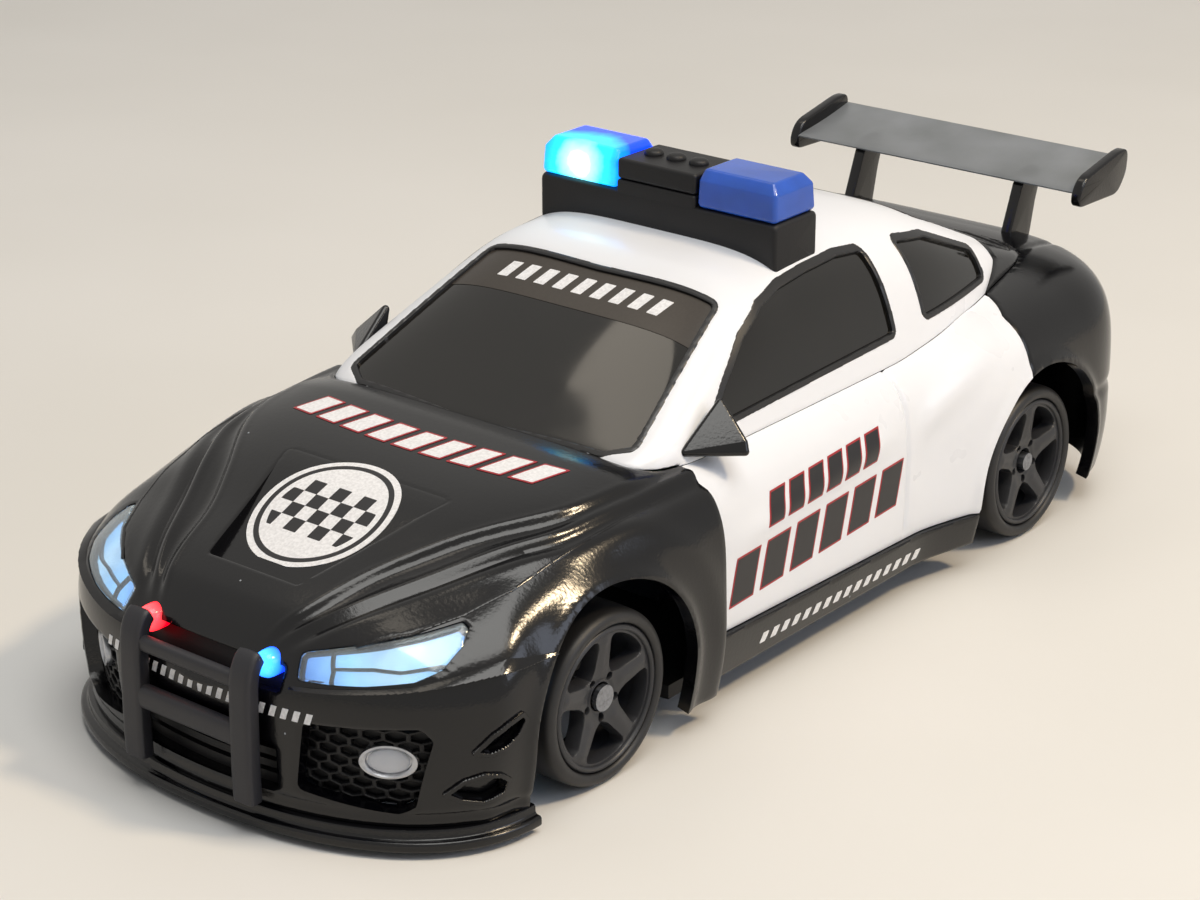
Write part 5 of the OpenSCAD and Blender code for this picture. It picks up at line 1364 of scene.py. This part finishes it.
cover_block = block((-3.85, 3.85), (2.65, 7.75), (35.9, 37.05))
cover_bump = [(0.85, -0.1), (0.85, 0.12), (0.78, 0.32), (0.6, 0.44), (0.3, 0.5), (0.0, 0.5),
              (0.0, -0.1)]
bumps = [lathe(cover_bump, (x, 5.2, 37.38), right_way, back_way, up_way, 40)
         for x in (-2.4, 0, 2.4)]
add_piece("light_bar_cover", join(rounded_hull(cover_block, 0.33), *bumps), grain_abs,
          ["light_bar_cover"])
lens_low, lens_high, lens_r = 34.62, 37.9, 0.45


def lens_block(side):
    """Lens corners: a block that narrows a little towards its top."""
    levels = ((lens_low + lens_r, 0), (lens_low + 2.2, 0.1), (lens_high - lens_r, 0.55))
    across = ((4.35 + lens_r, 0.25), (12.5 - lens_r, -1))
    along = ((2.3 + lens_r, 1), (8.1 - lens_r, -1))
    return [(side * (x + dx * k), y + dy * k, z) for z, k in levels for x, dx in across
            for y, dy in along]


# Unlit blue polycarbonate: deep clear blue with a wet gloss
blue_lens = clear_plastic("blue polycarbonate", "#2a66dc", 0.14, 0.3)
# Lit blue polycarbonate: white-hot round the chip, cyan about it and deep blue towards the ends
blue_lit = light_guide("lit blue polycarbonate", (-8.4, 1.9, 36.1), 5.6, [
    (0.2, "#ffffff"), (0.36, "#8ff2ff"), (0.6, "#16b4ff"), (1.0, "#0a35e8")], 2.2)
add_piece("light_bar_lens_left", rounded_hull(lens_block(1), lens_r), blue_lens,
          ["light_bar_lens_left"], sharp=30)
add_piece("light_bar_lens_right", rounded_hull(lens_block(-1), lens_r), blue_lit,
          ["light_bar_lens_right"], sharp=30)


# Rear wing: a smoke-tinted clear plane between two dark end plates, on two stays screwed to the
# boot.
# Plane in polycarbonate, plates and stays in black ABS.
def plate(outline, place, half, edge=0.2):
    """Flat plate with rounded edges: an outline drawn in at both faces by a quarter circle,
    stacked along its thickness."""
    p = np.array(outline, float)
    way = np.roll(p, -1, 0) - np.roll(p, 1, 0)
    way /= np.linalg.norm(way, axis=1, keepdims=True)
    inward = np.stack([-way[:, 1], way[:, 0]], 1) * winding(p)
    inset, along = bevelled(4, edge)
    rows = np.concatenate([-half + along, (half - along)[::-1]])
    draw = np.concatenate([inset, inset[::-1]])
    flat = p[None] + inward[None] * draw[:, None, None]
    x = np.broadcast_to(place + rows[:, None], flat.shape[:2])
    return loft(np.stack([x, flat[..., 0], flat[..., 1]], -1))


wing_front, wing_deep, wing_half = 45.35, 8.5, 15.55
chord = np.linspace(0, 1, 26)
camber = 27.95 + 1.65 * chord ** 1.7
thick = 0.12 + 0.85 * np.sqrt(chord) * (1 - chord) * 1.4
wing_run = wing_front + wing_deep * chord
wing_y = np.concatenate([wing_run, wing_run[::-1]])
wing_z = np.concatenate([camber + thick / 2, (camber - thick / 2)[::-1]])
wing_x = np.linspace(-wing_half, wing_half, 30)[:, None]
wing = np.stack(np.broadcast_arrays(wing_x, wing_y, wing_z), -1)
# Smoke-tinted polycarbonate: half clear, brighter along its edges, and pale grey. The grey is
# partly its tint and partly a painted reflection of the bright backdrop on the plane's top
smoke_and_painted_reflection = clear_plastic("smoky polycarbonate", "#8f9499", 0.34, 0.45)
add_piece("wing_plane", loft(wing), smoke_and_painted_reflection, ["wing_plane"], sharp=50)
end_outline = soft_outline([(45.2, 26.6), (52.4, 26.4), (53.9, 28.2), (54, 30.5), (52.6, 30.6),
                            (46.2, 29.3), (45.2, 28)], 0.9)
add_piece("wing_end_plates", mirrored(plate(end_outline, 16.0, 0.5)), black_abs,
          ["wing_end_plates"])
stay_outline = soft_outline([(44, 21.0), (46.6, 27.6), (47.6, 28.2), (49.4, 28.35), (50.0, 27.7),
                             (49.2, 25.4), (48.2, 21.0)], 0.5)
add_piece("wing_stays", mirrored(plate(stay_outline, 9.0, 0.55)), black_abs,
          ["wing_stays"])

# Wheels: five-spoke rims in dull dark-grey ABS with hard black tyres for drifting, pressed over
# the rims. The front pair turn on pins, the rear pair are pressed on the axle shaft.
wheel_in, pin_hole, face_r, spoke_turn = 16.0, 1.12, 5.42, np.pi / 5
hub_r, edge_r, lug_at, lug_r = 1.95, 5.12, 1.72, 0.3


def rim_disc(u, w):
    """Rim face seen along the axle: u goes out along the radius, w once round; the face rises from
    hub to edge."""
    r, angle = pin_hole + (face_r - pin_hole) * u, np.pi / 2 - np.pi * w
    return np.stack([r * np.cos(angle), r * np.sin(angle), 4.72 + 0.4 * ease(1.6, 5.2, r)], -1)


def soften(a, b, k):
    """Smaller of two distances with the corner between them rounded over a width of k."""
    h = np.clip(0.5 + 0.5 * (b - a) / k, 0, 1)
    return b * (1 - h) + a * h - k * h * (1 - h)


def rim_polar(p):
    """Place on the rim: the radius, the angle from the nearest spoke's middle line, and the angle
    from the middle of the gap between two spokes."""
    r, angle = np.hypot(p[..., 0], p[..., 1]), np.arctan2(p[..., 1], p[..., 0])
    spoke = np.mod(angle - np.pi / 2 + spoke_turn, 2 * spoke_turn) - spoke_turn
    return r, spoke, np.mod(angle - np.pi / 2, 2 * spoke_turn) - spoke_turn


def rim_face(p):
    """Below 0 on the spokes, hub and edge: five tapered spokes run softly into both, five lug
    holes are left open."""
    r, turn, gap = rim_polar(p)
    spoke = np.abs(r * np.sin(turn)) - np.interp(r, [1.9, 5.3], [0.92, 0.66])
    web = soften(soften(spoke, r - hub_r, 1.0), edge_r - r, 0.8)
    lug = np.hypot(r * np.cos(gap) - lug_at, r * np.sin(gap)) - lug_r
    return np.maximum(web, -lug)


def rim_relief(p):
    """Spokes crowned along their middle, with a shallow ring round the pin."""
    r, turn, _ = rim_polar(p)
    crown = 0.18 * np.exp(-(r * np.sin(turn) / 0.55) ** 2)
    return crown * ease(1.6, 2.6, r) * ease(5.4, 4.6, r) - ridge(r - 1.3, 0.12, 0.2)


def wheel_shape(shape, side, y):
    """A shape in wheel coordinates (ahead, up, outward from the inner face) put on one side's
    wheel."""
    p, triangles = shape
    x, y, z = side * (wheel_in + p[:, 2]), y + side * p[:, 0], axle_z + p[:, 1]
    return np.stack([x, y, z], 1), triangles


wheel_axes = ((0, 0, 0), right_way, back_way, up_way)
spokes = cut_shell(relieved(rim_disc, rim_relief), (70, 400), rim_face, 1.35, edge_drop=0.12)
barrel = lathe([(5.36, 4.2), (5.36, 5.2), (5.42, 5.34), (5.52, 5.4), (5.72, 5.36), (5.86, 5.2),
                (5.88, 4.9), (5.88, 0.5), (5.8, 0.3), (5.4, 0.3), (5.2, 0.5), (5.2, 1.0),
                (5.1, 3.4), (5.36, 4.2)], *wheel_axes, 120)
tyre_side = curved_path([(5.94, 5.2), (6.05, 5.42), (6.4, 5.55), (6.75, 5.42), (6.98, 5.1),
                         (7.06, 4.6), (7.09, 3.8), (7.1, 2.8), (7.09, 1.8), (7.06, 1.0),
                         (6.98, 0.5), (6.75, 0.18), (6.4, 0.05), (6.05, 0.2), (5.94, 0.4)], 60)
tyre = lathe([*tyre_side, (5.9, 0.6), (5.9, 5.0), tyre_side[0]], *wheel_axes, 140)
# Dull dark-grey ABS rims: charcoal with an eggshell sheen
rim_abs = moulded_plastic("dull grey ABS", "#26272b", 0.42, 0.35, 0.3)
# Hard black tyre plastic: satin black with a fine grain
tyre_abs = moulded_plastic("hard tyre plastic", "#161618", 0.48, 0.5, 0.4)
for place, y, bodies in (("front", front_y, ("front_wheel_left", "front_wheel_right")),
                         ("rear", rear_y, ("rear_axle", "rear_axle"))):
    for side, name, body in ((1, "left", bodies[0]), (-1, "right", bodies[1])):
        rim, rubber = f"{place}_rim_{name}", f"{place}_tyre_{name}"
        add_piece(rim, wheel_shape(join(spokes, barrel), side, y), rim_abs, [rim], body)
        add_piece(rubber, wheel_shape(tyre, side, y), tyre_abs, [rubber], body)


# Working parts inside: floor, screws, board, battery, motors, gears, steering and switch, as the
# solids give them. Each gets the finish of its own material.
def plain_metal(name, code, roughness, brush_mm):
    """Machined or drawn metal: fine streaks along the cut change its roughness and tone."""
    material = new_material(name)
    at = add_node(material, "ShaderNodeTexCoord").outputs["Object"]
    long = add_node(material, "ShaderNodeMapping", {"Vector": at, "Scale": (0.08, 1, 1)})
    streak = add_node(material, "ShaderNodeTexNoise", {
        "Vector": long.outputs["Vector"], "Scale": per_mm(brush_mm), "Detail": 4}).outputs["Fac"]
    tone = add_node(material, "ShaderNodeValToRGB", {"Fac": streak},
                    stops=[(0.3, shade(code, 0.86)), (0.7, shade(code, 1.08))])
    rough = add_node(material, "ShaderNodeValToRGB", {"Fac": streak},
                     stops=[(0.3, roughness * 0.75), (0.7, roughness * 1.3)])
    shader = add_node(material, "ShaderNodeBsdfPrincipled", {
        "Base Color": tone.outputs["Color"], "Metallic": 1.0, "Roughness": rough.outputs["Color"]})
    add_node(material, "ShaderNodeOutputMaterial", {"Surface": shader.outputs["BSDF"]})
    return material


# Steel: cool grey with fine drawn lines; bronze: warm and dull; foil: pale and soft
steel = plain_metal("drawn steel", "#8d9096", 0.34, 0.3)
bronze = plain_metal("sintered bronze", "#8c6a3c", 0.45, 0.35)
foil = plain_metal("aluminium laminate foil", "#b8bbc0", 0.4, 1.2)
# Small plastics: milky nylon, green solder mask, grey and pale switch plastics, ivory chip resin
nylon = moulded_plastic("natural nylon", "#d8d3c4", 0.4, 0.4, 0.2)
solder_mask = moulded_plastic("green solder mask", "#1d5a35", 0.3, 0.5, 0.2)
switch_grey = moulded_plastic("grey switch plastic", "#3b3d42", 0.42, 0.3, 0.3)
switch_pale = moulded_plastic("pale switch knob plastic", "#b7b9bd", 0.4, 0.3, 0.3)
chip_resin = moulded_plastic("white chip resin", "#e6e2d0", 0.35, 0.3, 0.1)
for finish, names in (
        (grain_abs, ("chassis_tray", "rear_diffuser", "steering_deck", "motor_clamp")),
        (dull_nylon, ("knuckle_left", "knuckle_right", "tie_rod", "steering_crank")),
        (steel, ("body_screws", "small_screws", "kingpins", "axle_pin_left", "axle_pin_right",
                 "rear_axle_shaft", "motor_shaft", "motor_can", "steering_motor", "charge_socket")),
        (bronze, ("axle_bushes", "motor_pinion")), (foil, ("battery_cell",)),
        (nylon, ("axle_gear",)), (solder_mask, ("main_board",)),
        (switch_grey, ("power_switch_body",)), (switch_pale, ("power_switch_knob",)),
        (chip_resin, ("light_bar_leds",))):
    for name in names:
        node_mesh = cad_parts[name].data
        node_mesh.materials.clear()
        node_mesh.materials.append(finish)
